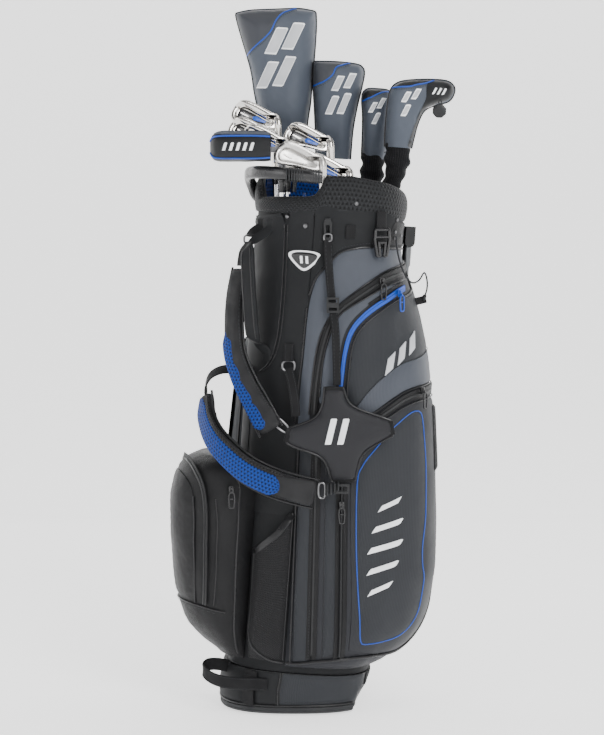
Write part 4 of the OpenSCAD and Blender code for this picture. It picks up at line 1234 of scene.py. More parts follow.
def make_base():
    foot = Geo()
    t = np.linspace(0, 360, 64, endpoint=False)

    def outline(grow, cut):
        p = oval(BASE_A + grow, BASE_B + grow, count=64)
        return np.stack([np.minimum(p[:, 0], cut - (p[:, 1] / 60) ** 2), p[:, 1]], -1)

    rings = [np.column_stack([outline(g, c), np.full(64, z)]) for g, c, z in
             [(-7, 93, 0), (-4, 96, 0), (-2.2, 97.5, 1), (-0.6, 98.8, 3), (0, 99.5, 4.4),
              (-0.6, 99.6, 5), (-0.6, 99.8, 6), (0, 101, 6.6), (0, 102.6, 10.2),
              (-0.8, 102.2, 11.2), (-3, 99, 11.2)]]
    loft(foot, rings)
    foot.make("base_foot_rubber", RUBBER, slot="rubber", replaces=["base_foot"])

    tub = Geo()
    heights = [11.4, 13, 18, 24, 30, 36, 44, 52, 60, 66, 68]
    rings = [base_face(t, z, np.full(64, -0.8)) for z in heights]
    u, v = oval(TRUNK_A - 2, TRUNK_B - 2, count=64).T
    rings.append(on_lean(u, v, 68))
    u, v = oval(TRUNK_A - 3, TRUNK_B - 3, count=64).T
    rings.append(np.column_stack([u + 4, v, np.full(64, 56.4)]))
    loft(tub, rings)
    tub.make("base_tub_shell", PLASTIC, slot="moulded", replaces=["base_tub"])

    grey = Geo()
    patch(grey, base_face, [(-97, 16), (-97, 67), (-60, 67), (-30, 67), (-32, 40), (-44, 17)],
          base=0.4, rise=1.4, fall=7, step=6)
    patch(grey, base_face, [(60, 17), (60, 67), (120, 67), (120, 17)], base=0.4, rise=1.4,
          fall=7, step=6)
    grey.make("base_panels_grey", CHARCOAL, slot="grey_weave")
    black = Geo()
    for low, high, seed in ((-205, -128, 1.0), (-116, -99, 2.0), (122, 153, 3.0)):
        patch(black, base_face, [(low, 17), (low, 67), (high, 67), (high, 17)], base=0.4,
              rise=1.4, fall=7, step=6, seed=seed)
    patch(black, base_face, [(-27, 40), (-24, 66), (50, 66), (56, 20), (40, 17)], base=0.4,
          rise=1.2, fall=7, step=6)
    black.make("base_panels_black", PU, slot="body_pu")
    trim = Geo()
    for t0 in (-98, -206, 121, 58):
        piping(trim, base_face, [(t0, 14), (t0, 67)], 1.3, 1.2)
    piping(trim, base_face, [(a, 14.5) for a in np.linspace(-208, -46, 70)], 1.4, 1.0)
    piping(trim, base_face, [(a, 14.5) for a in np.linspace(50, 152, 40)], 1.4, 1.0)
    trim.make("base_piping", TRIM, slot="body_pu")
    strap = Geo()
    ribbon(strap, base_face, [(-122, 13), (-122, 40), (-122, 67)], 26, 2.4, 1.6)
    strap.make("base_strap", WEB, slot="webbing")
    sewn = Geo()
    for z in (20, 60):
        stitches(sewn, base_face, [(-128, z), (-116, z)], 3.0, 3.4, 2.4, 0.45)
    stitches(sewn, base_face, [(-96, 21), (-96, 63)], 2.0, 4, 2.6, 0.4)
    stitches(sewn, base_face, [(-94, 20), (-48, 20)], 2.2, 4, 2.6, 0.4)
    sewn.make("base_stitching", THREAD, slot="grey_weave")


make_base()


# ---- collar, handle and dividers --------------------------------------------

COLLAR_TOP, COLLAR_LOW = 892, 852
COLLAR_Z = [(0, 866), (20, 872), (60, 884), (120, 890), (178, 884), (196, 868),
            (206, COLLAR_LOW - 4), (250, COLLAR_LOW + 2), (257, COLLAR_LOW + 6),
            (263, COLLAR_TOP - 3), (285, COLLAR_TOP), (315, COLLAR_TOP - 7), (345, 872),
            (360, 866)]


def make_collar():
    """Padded ring: mesh cloth over foam, rolled over the rim, wider at its middle."""
    geo = Geo()
    count = 120
    t = np.linspace(0, 360, count, endpoint=False)
    u, v = bag_oval(t, 124, 112)
    az = np.degrees(np.arctan2(v, u)) % 360
    top = np.interp(az, *zip(*COLLAR_Z))
    low = 823.5
    section = []
    for swell, share in [(-7.2, 0.0), (-2.0, 0.0), (0.4, 0.03), (2.2, 0.14), (3.6, 0.32),
                         (4.2, 0.5), (3.8, 0.68), (2.2, 0.83), (0.0, 0.93), (-2.6, 0.985),
                         (-4.4, 1.0), (-6.2, 0.985), (-7.2, 0.94), (-7.3, 0.5)]:
        u, v = bag_oval(t, 124 + swell, 112 + swell)
        w = low + (top - low) * share
        place = on_lean(u, v, w)
        if 0.03 < share < 1.0 and swell > -3:
            away = unit(np.stack([u, v, np.zeros(count)], -1))
            place = place + away * (0.9 * ripple(place, 24, 2.0))[:, None]
        section.append(place)
    rings = np.stack(section, 1)
    loft(geo, rings, closed_v=True)
    pad = geo.make("collar_padding", MESH_BLACK, slot="mesh_black", sharp=60,
                   replaces=["collar_pad"])

    ring_geo = Geo()
    angles = np.concatenate([np.arange(0, 254, 4), [257, 260, 263], np.arange(267, 360, 4)])
    a = np.radians(angles)
    rows = []
    for grow, low_w, drop in [(3.6, 827.4, None), (0, 827.4, None), (0, None, 5), (0.6, None, 3.4),
                              (1.8, None, 3.0), (3.0, None, 3.4), (3.6, None, 5)]:
        x = (112 + grow) * rounded(np.cos(a), OVAL_N)
        y = (103 + grow * 0.8) * rounded(np.sin(a), OVAL_N)
        rim = np.interp(np.degrees(np.arctan2(y, x)) % 360, *zip(*COLLAR_Z))
        rows.append(on_lean(x, y, rim - drop if low_w is None else np.full(len(x), low_w)))
    loft(ring_geo, np.stack(rows, 1), closed_v=True)
    ring_geo.make("collar_frame", PLASTIC, slot="moulded", replaces=["collar_ring"])

    # Blue mesh lining on the far inside, which shows through the dip in the rim
    lining = Geo()
    a = np.radians(np.arange(4, 180, 4))
    rows = []
    for inset, low_w in [(0.2, 829), (2.0, 829), (2.0, None), (0.2, None)]:
        x = (112 - inset) * rounded(np.cos(a), OVAL_N)
        y = (103 - inset) * rounded(np.sin(a), OVAL_N)
        rim = np.interp(np.degrees(np.arctan2(y, x)) % 360, *zip(*COLLAR_Z)) - 7
        rows.append(on_lean(x, y, rim if low_w is None else np.full(len(x), low_w)))
    loft(lining, np.stack(rows, 1))
    lining.make("collar_lining", MESH_BLUE, slot="mesh_blue")

    # Grab bar: a moulded bar with grip ribs towards its front end
    bar = Geo()
    route = smooth([(-19, -109, 886), (-52, -110.5, 887), (-86, -101, 888),
                    (-118, -79, 888), (-136, -48, 886), (-140, -18, 880), (-134, 6, 866),
                    (-126, 17, 852), (-114, 20, 842)], 7)
    path = on_lean(*route.T)
    side = unit(np.cross(frames(path)[0], [0, 0, 1.0]))
    along = np.linspace(0, 1, len(path))
    size = 0.9 + 0.1 * ease(0.0, 0.06, along) - 0.12 * ease(0.94, 1.0, along)
    sweep(bar, path, slab(21, 14.5, 20, 3.0), -side, scale=size)
    bar.make("top_handle_bar", GLOSS, slot="gloss_black", replaces=["top_handle"])
    ribs = Geo()
    for k in range(13):
        centre = on_lean(*(np.array([-24, -109.2, 886]) + np.array([-4.4, -0.15, 0.1]) * k))
        ring = slab(22.6, 16.2, 20, 3.0)
        path = np.stack([centre - [1.1, 0, 0], centre - [0.7, 0, 0], centre + [0.7, 0, 0],
                         centre + [1.1, 0, 0]])
        sweep(ribs, path, ring, np.tile([0, -1.0, 0], (4, 1)),
              scale=[0.96, 1.0, 1.0, 0.96])
    ribs.make("top_handle_ribs", RUBBER, slot="rubber")

    # Padded divider bars
    bars = Geo()
    for centre, size_uvw in (((0, 61, 843), (188, 6, 34)), ((-44.5, -20, 843), (7, 154, 34)),
                             ((64.5, -15, 843), (7, 144, 34)), ((-36.5, 81, 843), (7, 33, 34)),
                             ((27.5, 81, 843), (7, 33, 34))):
        long_way = 0 if size_uvw[0] > size_uvw[1] else 1
        half = size_uvw[long_way] / 2
        steps = np.linspace(-half, half, 26)
        line = np.tile(np.array(centre, float), (26, 1))
        line[:, long_way] += steps
        pinch = 1 - 0.25 * (np.abs(steps) / half) ** 8
        wide = slab(34, min(size_uvw[0], size_uvw[1]), 18, 2.6)
        puff = 1 + 0.1 * np.sin(steps / 9)
        section = wide[None] * np.stack([pinch, pinch * puff], -1)[:, None]
        way = np.array([0, 1.0, 0]) if long_way == 0 else np.array([1.0, 0, 0])
        sweep(bars, on_lean(*line.T), section, np.tile(way, (26, 1)))
    bars.make("divider_bars", MESH_BLUE, slot="mesh_blue", replaces=["dividers"])


make_collar()


# ---- carry strap ------------------------------------------------------------

PAD_UPPER = [(-88, -78, 738), (-97, -86, 690), (-99, -94, 640), (-95, -103, 596),
             (-80, -114, 554), (-62, -125, 520), (-48, -133, 494), (-38, -138, 474)]
PAD_LOWER = [(-146, -70, 528), (-143, -86, 492), (-130, -112, 462), (-106, -134, 436),
             (-76, -146, 412), (-40, -151, 394), (-2, -155, 382), (34, -157, 374)]
HUB = np.array([69, -136, 475.0])


def band_frame(points, steps=8, width_way=None):
    """Path of a band and its normals: away from the trunk's axis, or as its width lies."""
    path = smooth(points, steps)
    t = unit(np.gradient(path, axis=0))
    away = path * [1, 1, 0] if width_way is None else np.cross(width_way, t)
    return path, unit(away - t * (away * t).sum(1, keepdims=True))


def puffed(width, thick, count):
    """Cushion sections along a band: thin bound edges, a full middle, pinched ends."""
    t = np.linspace(0, 1, count)
    end = np.minimum(1, np.minimum(t, 1 - t) / 0.05) ** 0.5
    base = slab(width, thick, 24, 2.6)
    soft = 1 + 0.05 * np.sin(t * 46) + 0.04 * np.sin(t * 81 + 1)
    return base[None] * np.stack([0.8 + 0.2 * end, (0.45 + 0.55 * end) * soft], -1)[:, None]


def edge_stitches(geo, path, normals, across, lift, share, radius):
    """A stitch on each step of a band, across from its middle on both sides."""
    side = np.cross(unit(np.gradient(path, axis=0)), normals)
    for k in range(2, len(path) - 3):
        for way in (-1, 1):
            p = path[k:k + 2] + side[k:k + 2] * way * across + normals[k:k + 2] * lift
            sweep(geo, np.stack([p[0], p[0] * (1 - share) + p[1] * share]), circle(radius, 5),
                  normals[k:k + 2])


def inflate(obj, pressure, cap, voxel=5.0):
    """Swells a cushion by cloth simulation, no point moving more than cap mm."""
    bpy.context.view_layer.objects.active = obj
    bpy.ops.object.select_all(action="DESELECT")
    obj.select_set(True)
    remesh = obj.modifiers.new("remesh", "REMESH")
    remesh.mode = "VOXEL"
    remesh.voxel_size = voxel * MM
    bpy.ops.object.modifier_apply(modifier="remesh")
    rest = np.array([v.co for v in obj.data.vertices])
    cloth = obj.modifiers.new("cloth", "CLOTH")
    settings = cloth.settings
    settings.use_pressure = True
    settings.uniform_pressure_force = pressure
    settings.effector_weights.gravity = 0
    settings.tension_stiffness = 15
    settings.bending_stiffness = 0.5
    scene = bpy.context.scene
    for number in range(1, 21):
        scene.frame_set(number)
    deps = bpy.context.evaluated_depsgraph_get()
    shape = np.array([v.co for v in obj.evaluated_get(deps).data.vertices])
    obj.modifiers.remove(cloth)
    scene.frame_set(1)
    move = shape - rest
    length = np.linalg.norm(move, axis=1, keepdims=True)
    move *= np.minimum(1, cap * MM / np.maximum(length, 1e-9))
    obj.data.vertices.foreach_set("co", (rest + move).astype(np.float32).ravel())
    obj.data.update()
    for polygon in obj.data.polygons:
        polygon.use_smooth = True
    finer = obj.modifiers.new("finer", "SUBSURF")
    finer.levels = finer.render_levels = 1
    bpy.ops.object.modifier_apply(modifier="finer")


NYLON_SOLID = moulded("nylon_sleeve", linear(20, 20, 22), 0.7, 0.8)


def make_strap():
    for name, points, width, node in (("strap_pad_high", PAD_UPPER, 46, "strap_pad_upper"),
                                      ("strap_pad_low", PAD_LOWER, 50, "strap_pad_lower")):
        path, normals = band_frame(points)
        geo = Geo()
        sweep(geo, path, puffed(width - 3, 14, len(path)), normals)
        pad = geo.make(name, NYLON_SOLID, slot="black_fabric", replaces=[node])
        inflate(pad, 4.0, 2.5)

        side = np.cross(unit(np.gradient(path, axis=0)), normals)
        count = len(path)
        # side points to the strap's upper left edge; the blue mesh lies along it
        if node == "strap_pad_upper":
            first, last, shift, wide, edge_wide = 0.3, 0.93, -9.5, 24, 0
        else:
            first, last, shift, wide, edge_wide = 0.04, 0.80, 3.5, 35, 10
        a, b = int(first * count), int(last * count)
        run = slice(a, b)
        n_run = b - a
        t = np.linspace(0, 1, n_run)
        taper = np.minimum(1, np.minimum(t * 9, (1 - t) * 12) + 0.15) ** 0.6
        direction = 1 if side[count // 2] @ np.array([-1, 0, -1]) > 0 else -1
        blue = Geo()
        place = path + side * direction * (shift if node == "strap_pad_lower" else -shift)
        section = slab(wide, 5.0, 16, 2.4)[None] * np.stack([taper, taper], -1)[:, None]
        lift = 8.2 if node == "strap_pad_lower" else 7.6
        sweep(blue, place[run] + normals[run] * lift, section, normals[run])
        blue.make(name + "_blue_mesh", MESH_BLUE, slot="mesh_blue")
        if edge_wide:
            dark = Geo()
            place = path - side * direction * 17
            section = slab(11, 5.0, 12, 2.6)[None] * np.stack([taper, taper], -1)[:, None]
            sweep(dark, place[run] + normals[run] * 6.6, section, normals[run])
            dark.make(name + "_black_mesh", MESH_PAD, slot="mesh_black")
        binding = Geo()
        for way in (-1, 1):
            sweep(binding, path + side * way * (width / 2 - 1.4), circle(1.9, 10), normals)
        binding.make(name + "_binding", TRIM, slot="black_fabric")
        threads = Geo()
        edge_stitches(threads, path, normals, width / 2 - 5.5, 5.2, 0.6, 0.5)
        threads.make(name + "_stitching", THREAD, slot="black_fabric")


def hub_face(x, z, out=0.0):
    x, z, out = floats(x, z, out)
    bow = 3.0 * np.exp(-((x / 70) ** 2 + (z / 70) ** 2))
    return HUB + np.stack([x, -5.2 - out - bow, z], -1)


def make_hub():
    outline = smooth([(-21, 71), (-21, 71), (-24, 44), (-38, 21), (-79, 5), (-79, 5),
                      (-83, -19), (-83, -19), (-68, -27), (-24, -45), (-9, -83), (-9, -83),
                      (30, -81), (30, -81), (42, -38), (76, -15), (91, -8), (91, -8),
                      (89, 17), (89, 17), (72, 23), (24, 42), (10, 71), (10, 71)], 6,
                     closed=True)
    hub = Geo()
    patch(hub, hub_face, outline, base=-1.0, rise=7.5, fall=24, thick=8.0, step=5, scale=1,
          folds=1.6, fold_size=26)
    pad = hub.make("strap_hub_pad", PU_HUB, slot="black_fabric", sharp=60,
                   replaces=["strap_hub"])
    trim = Geo()
    piping(trim, hub_face, outline, 1.7, 0.0, 1, closed=True)
    trim.make("strap_hub_binding", TRIM, slot="body_pu")
    ends = Geo()
    for (x, z), (dx, dz) in (((-5, 66), (14, 0)), ((-78, -7), (3, 11)), ((11, -78), (17, 1)),
                             ((86, 5), (-2, 11))):
        line = np.array([(x - dx, z - dz), (x, z), (x + dx, z + dz)], float)
        ribbon(ends, hub_face, line, 13, 2.2, 1.6, 1, 3)
    ends.make("strap_hub_end_bands", WEB, slot="webbing")
    marks = Geo()
    for shift in (-10, 10):
        patch(marks, hub_face, [(-10 + shift, -21), (0 + shift, -21), (10 + shift, 21),
                                (0 + shift, 21)], base=7.6, rise=0.7, fall=2, thick=3.0,
              step=3, scale=1)
    marks.make("strap_hub_bars", WHITE, slot="grey_weave")


WEBBING = [
    ([(54, -118, 784), (56, -122, 735), (60, -125.5, 690), (66, -129, 640), (68, -132.5, 590),
      (69, -135.5, 549)], 14.5, 2.6, None),
    ([(-74, -64, 780), (-84, -74, 765), (-88, -78, 741)], 21, 3.2, None),
    ([(-94, -67, 566), (-108, -68, 570), (-124, -69, 568), (-138, -69, 560),
      (-146, -70, 545), (-147, -70, 528)], 21, 3.2, (0.1, 0.8, 0.6)),
    ([(-112, -56, 70), (-130, -60, 74), (-146, -66, 74), (-152, -78, 68), (-142, -92, 60),
      (-124, -108, 56), (-104, -115, 54), (-82, -113, 52), (-64, -109, 51), (-46, -111, 50)],
     21, 3.2, (0, 0, -1)),
    ([*off_trunk(-152, [812, 800], 2.4), (-70, -63, 795), (-75, -66, 789)], 19, 3, None),
    ([*off_trunk([-168, -160], 560, 2.4), (-79, -61, 564), (-88, -66, 567)], 19, 3, (0, 0, 1)),
    ([*off_trunk(-116, [612, 602], 5), (-10, -111.5, 592), (-10, -113, 586)], 16, 3, None),
    ([(-10, -113, 575), (-4, -120, 550), (0, -125, 524), (2, -129, 498)], 15, 2.6, None)]
CARRY_HANDLE = [(-70, -94, 780), (-76, -116, 764), (-75, -122, 720), (-72, -122, 670),
                (-68, -116, 630), (-60, -98, 614)]


def ring_of(geo, centre, across, up, width, height, radius, power=3.0):
    """Wire ring: a rounded rectangle of wire in the plane of across and up."""
    t = np.linspace(0, 2 * math.pi, 36, endpoint=False)
    a = rounded(np.cos(t), power) * width / 2
    b = rounded(np.sin(t), power) * height / 2
    across, up = unit(across), unit(up)
    path = np.asarray(centre, float) + a[:, None] * across + b[:, None] * up
    normal = np.cross(across, up)
    return sweep(geo, path, circle(radius, 8), np.tile(normal, (36, 1)), closed=True)


def make_webbing():
    web, sewn = Geo(), Geo()
    for points, width, thick, width_way in WEBBING:
        path, normals = band_frame(points, 8, width_way)
        sweep(web, path, slab(width, thick, 12, 4), normals)
        edge_stitches(sewn, path, normals, width / 2 - 2.4, thick / 2 + 0.1, 0.5, 0.4)
    ribbon(web, face, [(-73, 812), (-73, 790)], 17, 2.4, 2.4)
    web.make("strap_webbing", WEB, slot="webbing", replaces=["webbing"])
    sewn.make("strap_webbing_stitching", THREAD, slot="webbing")

    path, normals = band_frame([*off_trunk(-141, [812, 796], 2.6), *CARRY_HANDLE,
                                *off_trunk(-135, [596, 580], 2.6)], 9)
    t = np.linspace(0, 1, len(path))
    full = ease(0.23, 0.36, t) * (1 - ease(0.66, 0.77, t))
    section = np.stack([slab(15 + 10 * f, 3.4 + 8.2 * f, 20, 2.8) for f in full])
    handle = Geo()
    sweep(handle, path, section, normals)
    bar = handle.make("carry_handle_grip", PU, slot="body_pu")
    welt = Geo()
    side = np.cross(unit(np.gradient(path, axis=0)), normals)
    inner = slice(26, len(path) - 26)
    for way in (-1, 1):
        edge = path + side * way * ((15 + 10 * full) / 2 - 4.5)[:, None] \
            + normals * ((3.4 + 8.2 * full) / 2 - 0.7)[:, None]
        sweep(welt, edge[inner], circle(1.0, 8), normals[inner])
    welt.make("carry_handle_welt", TRIM, slot="body_pu")

    rings = Geo()
    ring_of(rings, (54, -117.5, 788), (1, 0, 0), (0, 0.05, 1), 13, 12, 1.5)
    ring_of(rings, (-74, -64, 784), (0.8, -0.6, 0), (0, 0, 1), 24, 14, 1.8)
    ring_of(rings, (-94, -67, 568), (0.1, -0.2, 1), (-1, 0, 0), 24, 14, 1.8)
    ring_of(rings, (-10, -112, 579), (1, 0, 0), (0, 0.1, 1), 20, 16, 1.8)
    ring_of(rings, (-26, -132, 487), (0.75, 0, -0.66), (0.66, 0, 0.75), 40, 13, 1.9)
    ring_of(rings, (44, -157.5, 380), (0, 0, 1), (1, 0, 0), 25, 11, 1.8)
    rings.make("strap_rings", RING, slot="satin_steel")
    moulds = Geo()
    for k in range(4):
        centre = np.array([52 + 6 * k, -158, 382.0 + 1.5 * k])
        ring_of(moulds, centre, (0, 0, 1), (0.2, -1, 0), 20 - 2 * k, 6, 1.6)
    moulds.make("strap_adjuster", PLASTIC, slot="moulded")


make_strap()
make_hub()
make_webbing()


# ---- legs, actuator and zip pulls -------------------------------------------

def leg_piece(name, node, pivot, swing):
    """Leg tube with end sleeves, on its eye; and its ribbed rubber foot."""
    turn = math.radians(swing - 90)
    top = on_lean(pivot[0], pivot[1], 790)
    down = on_lean(0, 0, -1.0)
    hinge = unit(on_lean(math.cos(turn), math.sin(turn), 0.0))
    tube = Geo()
    rings = ((1.25, 8), (1.3, 10), (1.3, 40), (1.05, 42), (1.0, 44), (1.0, 300), (1.0, 620),
             (1.0, 690))
    tie(tube, top, down, 5.9, 1.0, 24, rings)
    tie(tube, top - hinge * 5.6, hinge, 8.8, 11.2, 28,
        ((0.38, 0.0), (0.94, 0.0), (1.0, 0.06), (1.0, 0.94), (0.94, 1.0), (0.38, 1.0)))
    tube.make(name, LEG, node, slot="leg_metal", replaces=[node])
    foot = Geo()
    profile = [(0.78, 676), (0.82, 679)]
    for k in range(5):
        profile += [(0.86, 680 + 6 * k), (0.86, 683 + 6 * k), (0.79, 683.6 + 6 * k),
                    (0.79, 685.4 + 6 * k)]
    profile += [(0.84, 710), (0.7, 711.6), (0.3, 712)]
    tie(foot, top, down, 10.4, 1.0, 24, profile)
    foot.make(name + "_foot", RUBBER, node, slot="rubber")
    bands = Geo()
    for w in (120, 128, 560):
        tie(bands, top, down, 6.15, 1.0, 24, ((0.9, w), (1.0, w), (1.0, w + 3), (0.9, w + 3)))
    bands.make(name + "_bands", SILVER, node, slot="leg_metal")


leg_piece("leg_front", "leg_near", (134, 27), 23)
leg_piece("leg_rear", "leg_far", (58, 116), 53)


def make_pull(name, at, turn, tint):
    """Slider body, bridge, and a hollow tapered pull."""
    a = math.radians(turn)
    across = np.array([math.cos(a), math.sin(a), 0])
    out = np.array([math.sin(a), -math.cos(a), 0])
    up = np.array([0, 0, 1.0])
    base = np.asarray(at, float)
    geo = Geo()

    def place(x, y, z):
        return base + across * x + out * y + up * z

    body_line = np.stack([place(0, 1.5, z) for z in (-6, -5, 0, 5, 6)])
    sections = np.stack([slab(w, 3.0, 14, 4) for w in (5, 6.4, 8.6, 8.8, 7)])
    sweep(geo, body_line, sections, np.tile(out, (5, 1)))
    bridge = np.stack([place(0, y, z) for y, z in ((2.6, 4.6), (4.4, 3.6), (5.0, 0),
                                                   (4.4, -3.6), (2.8, -4.6))])
    neck = np.stack([place(0, y, z) for y, z in ((5.4, 0), (6.8, -1.5), (7.4, -4.6))])
    sweep(geo, neck, slab(2.4, 1.6, 10, 4), np.tile(out + up, (3, 1)))
    sweep(geo, bridge, slab(3.2, 1.3, 10, 4), np.tile(out, (5, 1)))
    outline = np.array([(-2.6, -4), (2.6, -4), (5.2, -10), (4.4, -26), (2.6, -29),
                        (-2.6, -29), (-4.4, -26), (-5.2, -10)])
    path = np.stack([place(x * 0.9, 7.4, z) for x, z in smooth(outline, 4, closed=True)])
    sweep(geo, path, slab(2.3, 2.3, 8, 3), np.tile(out, (len(path), 1)), closed=True)
    sweep(geo, np.stack([place(x, 7.4, -14.5) for x in (-2.6, 0, 2.6)]), slab(2.0, 1.3, 8, 4),
          np.tile(out, (3, 1)))
    geo.make("pull_" + name, tint, "slider_" + name, slot="gloss_black",
             replaces=["zip_slider_" + name])


make_pull("chest", (141.5, -103, 716), 30, GLOSS)
make_pull("curved", (171, -82.5, 696), 46, BLUE)
make_pull("side", (210, -72.5, 535), 51, GLOSS)
make_pull("left", (-104, -119.5, 376), 8, GLOSS)
make_pull("front", (77, -130, 352), 0, GLOSS)


# ---- clubs ------------------------------------------------------------------

WELL_FLOOR, GRIP_LEN, HOSEL_LEN = 56, 265, 58
GRIP_R, SHAFT_R, TIP_R, FERRULE_R = 13.1, 7.2, 4.7, 6.4
# Gaps below the butt and below the head's neck, and the same for the leaned clubs
FLOOR_GAP, NECK_GAP = 0.6, 0.3
LEANED_UP, NECK_DOWN = 10, 26.3
UPRIGHT = {"iron_5": (-28, 42, 986), "iron_6": (-33, 15, 957), "iron_7": (-12, -12, 944),
           "iron_8": (60, 14, 948), "iron_9": (50, -36.5, 906),
           "pitching_wedge": (91, -61.2, 895), "sand_wedge": (46, -86, 914)}
PUTTER_AT = (-21, -61.4, 915)
LEANED = {"driver": (-64, 78, 1080), "fairway": (-6, 80, 1010), "hybrid_4": (62, 79, 985),
          "hybrid_5": (95, 8, 985)}


def make_shaft(club, butt, axis, length, material, steps):
    """Grip with a butt cap, tapering shaft and ferrule, from the butt up along axis."""
    grip = Geo()
    profile = [(0.2, 0.0), (0.72, 0.3), (0.86, 1.6), (0.93, 4), (0.97, 6), (0.93, 8),
               (0.95, 9)]
    for k in range(1, 26):
        share = k / 25
        profile.append((0.96 - 0.27 * share, 9 + share * (GRIP_LEN - 15)))
    profile += [(0.72, GRIP_LEN - 5), (0.72, GRIP_LEN - 1), (0.62, GRIP_LEN)]
    tie(grip, butt, axis, GRIP_R, 1.0, 28, profile)
    grip.make(club + "_grip", GRIP, club, slot="rubber")

    shaft = Geo()
    start, end = GRIP_LEN - 3, length - 3
    rings = [(0.97, start)]
    for k in range(steps):
        radius = SHAFT_R - (SHAFT_R - TIP_R) * k / (steps - 1)
        low = start + (end - start) * k / steps
        high = start + (end - start) * (k + 1) / steps
        rings += [(radius / SHAFT_R, low + 1.2), (radius / SHAFT_R, high)]
    tie(shaft, butt, axis, SHAFT_R, 1.0, 20, rings)
    slot = "shaft_chrome" if material is SHAFT else "graphite"
    shaft.make(club + "_shaft_tube", material, club, slot=slot, replaces=[club + "_shaft"])

    ferrule = Geo()
    tie(ferrule, butt, axis, FERRULE_R, 1.0, 20,
        ((0.74, length - 24), (0.8, length - 20), (0.9, length - 8), (0.9, length - 7),
         (0.84, length - 6.6), (0.84, length - 5.6), (0.95, length - 5.2), (0.98, length - 0.2),
         (0.7, length)))
    ferrule.make(club + "_ferrule", GLOSS, club, slot="gloss_black")


IRON_OUTLINE = [(-5, 6), (0, 2.4), (6, 0.7), (14, 0), (38, 0), (52, 0.3), (61, 2), (68.5, 6.5),
                (72.8, 13), (74.6, 22), (74, 31), (71, 38.5), (66, 42), (59, 41.7),
                (50, 38.7), (38, 34.3), (26, 30.3), (14, 27.2), (4, 24.4), (-4, 19)]
CAVITY = [(9, 13.5), (22, 12.6), (40, 12.2), (54, 12.6), (63, 15.5), (67.5, 22), (67, 30),
          (62, 36), (55, 35), (44, 31.2), (32, 27.4), (20, 24), (11, 21.4), (7.5, 17)]
LIE, LOFT = math.radians(62), math.radians(19)


def iron_place(a, d, out):
    """Point of an iron head: a along from the heel, d in from the sole, out of its back."""
    along = np.array([-math.sin(LIE), 0, math.cos(LIE)])
    flat = np.array([-math.cos(LIE), 0, -math.sin(LIE)])
    back = np.array([0, -1.0, 0])
    down = flat * math.cos(LOFT) + back * math.sin(LOFT)
    away = back * math.cos(LOFT) - flat * math.sin(LOFT)
    a, d, out = (np.asarray(v, float)[..., None] for v in (a, d, out))
    return np.array([0, 9.4, 0]) + along * a + down * d + away * out


def iron_meshes():
    """Head, dark insert and blue badge of an iron, made once and shared by the set."""
    n = 96
    edge = even(np.concatenate([smooth(IRON_OUTLINE, 8, True),
                                smooth(IRON_OUTLINE, 8, True)[:1]]), 1.0)
    edge = edge[np.linspace(0, len(edge) - 1, n, endpoint=False).astype(int)]
    middle = np.array([38.0, 20.0])
    cavity = smooth(CAVITY, 10, True)
    way = unit(edge - middle)
    angle = np.unwrap(np.arctan2(*(cavity - middle).T[::-1]))
    order = np.argsort(np.mod(angle, 2 * math.pi))
    radius = np.linalg.norm(cavity - middle, axis=1)[order]
    rim = middle + way * np.interp(np.mod(np.arctan2(way[:, 1], way[:, 0]), 2 * math.pi),
                                   np.mod(angle, 2 * math.pi)[order], radius,
                                   period=2 * math.pi)[:, None]
    sole = (1 - ease(5, 20, edge[:, 1])) * ease(-6, 8, edge[:, 0])
    thick = 4.6 + 9.8 * sole
    inner = 4.4 + 7.4 * sole
    rings = [(middle + (edge - middle) * 0.02, 0 * thick), (middle + (edge - middle) * 0.6,
                                                           0 * thick)]
    rings += [(edge - way * 1.4, 0 * thick), (edge - way * 0.3, 0 * thick + 0.4),
              (edge, 0 * thick + 1.4), (edge, thick - 1.8), (edge - way * 0.5, thick - 0.5),
              (edge - way * 1.8, thick), (edge * 0.45 + rim * 0.55, (thick + inner) / 2 + 0.5),
              (rim + way * 0.9, inner + 0.1), (rim, inner - 0.5),
              (rim - way * 0.8, inner * 0.6 + 1),
              (rim - way * 1.4, 0 * thick + 2.9), (rim - way * 2.4, 0 * thick + 2.6),
              (middle + (rim - middle) * 0.5, 0 * thick + 2.5),
              (middle + (rim - middle) * 0.02, 0 * thick + 2.5)]
    head = Geo()
    loft(head, [iron_place(p[:, 0], p[:, 1], h) for p, h in rings])
    neck = smooth([(0, 0, -HOSEL_LEN), (0, 0, -40), (0, 0.2, -12), (-1.0, 2.6, -2),
                   (-4.5, 5.6, 3.5), (-10, 7, 7.5)], 5)
    size = np.interp(np.linspace(0, 1, len(neck)), [0, 0.03, 0.6, 0.85, 1],
                     [0.9, 1.0, 1.0, 0.9, 0.45])
    sweep(head, neck, circle(6.5, 24), scale=size)

    insert = Geo()
    patch(insert, iron_place, smooth([(15, 15), (15, 15), (58, 15), (64, 20), (63.5, 30), (60, 33),
                                 (44, 28.5), (30, 24.5), (15, 21), (15, 21)], 5, True),
          base=3.4, rise=0.5, fall=2, thick=1.2, step=3, scale=1)
    badge = Geo()
    patch(badge, iron_place, [(16, 16.2), (34, 16.2), (40, 21), (36, 25), (16, 20)], base=4.4,
          rise=0.5, fall=1.5, thick=1.1, step=2.5, scale=1)
    lines = Geo()
    patch(lines, iron_place, [(45, 22.5), (61, 22.5), (61, 25), (47, 25)], base=4.4, rise=0.4,
          fall=1, thick=1.1, step=2.5, scale=1)
    grooves = Geo()
    for d in np.arange(4.5, 27, 2.2):
        line = iron_place(np.linspace(14, 54, 12), np.full(12, d), np.full(12, -0.05))
        sweep(grooves, line, slab(0.8, 0.35, 6, 3), np.tile(iron_place(0, 0, -1.0)
                                                            - iron_place(0, 0, 0.0), (12, 1)))
    return head, insert, badge, lines, grooves


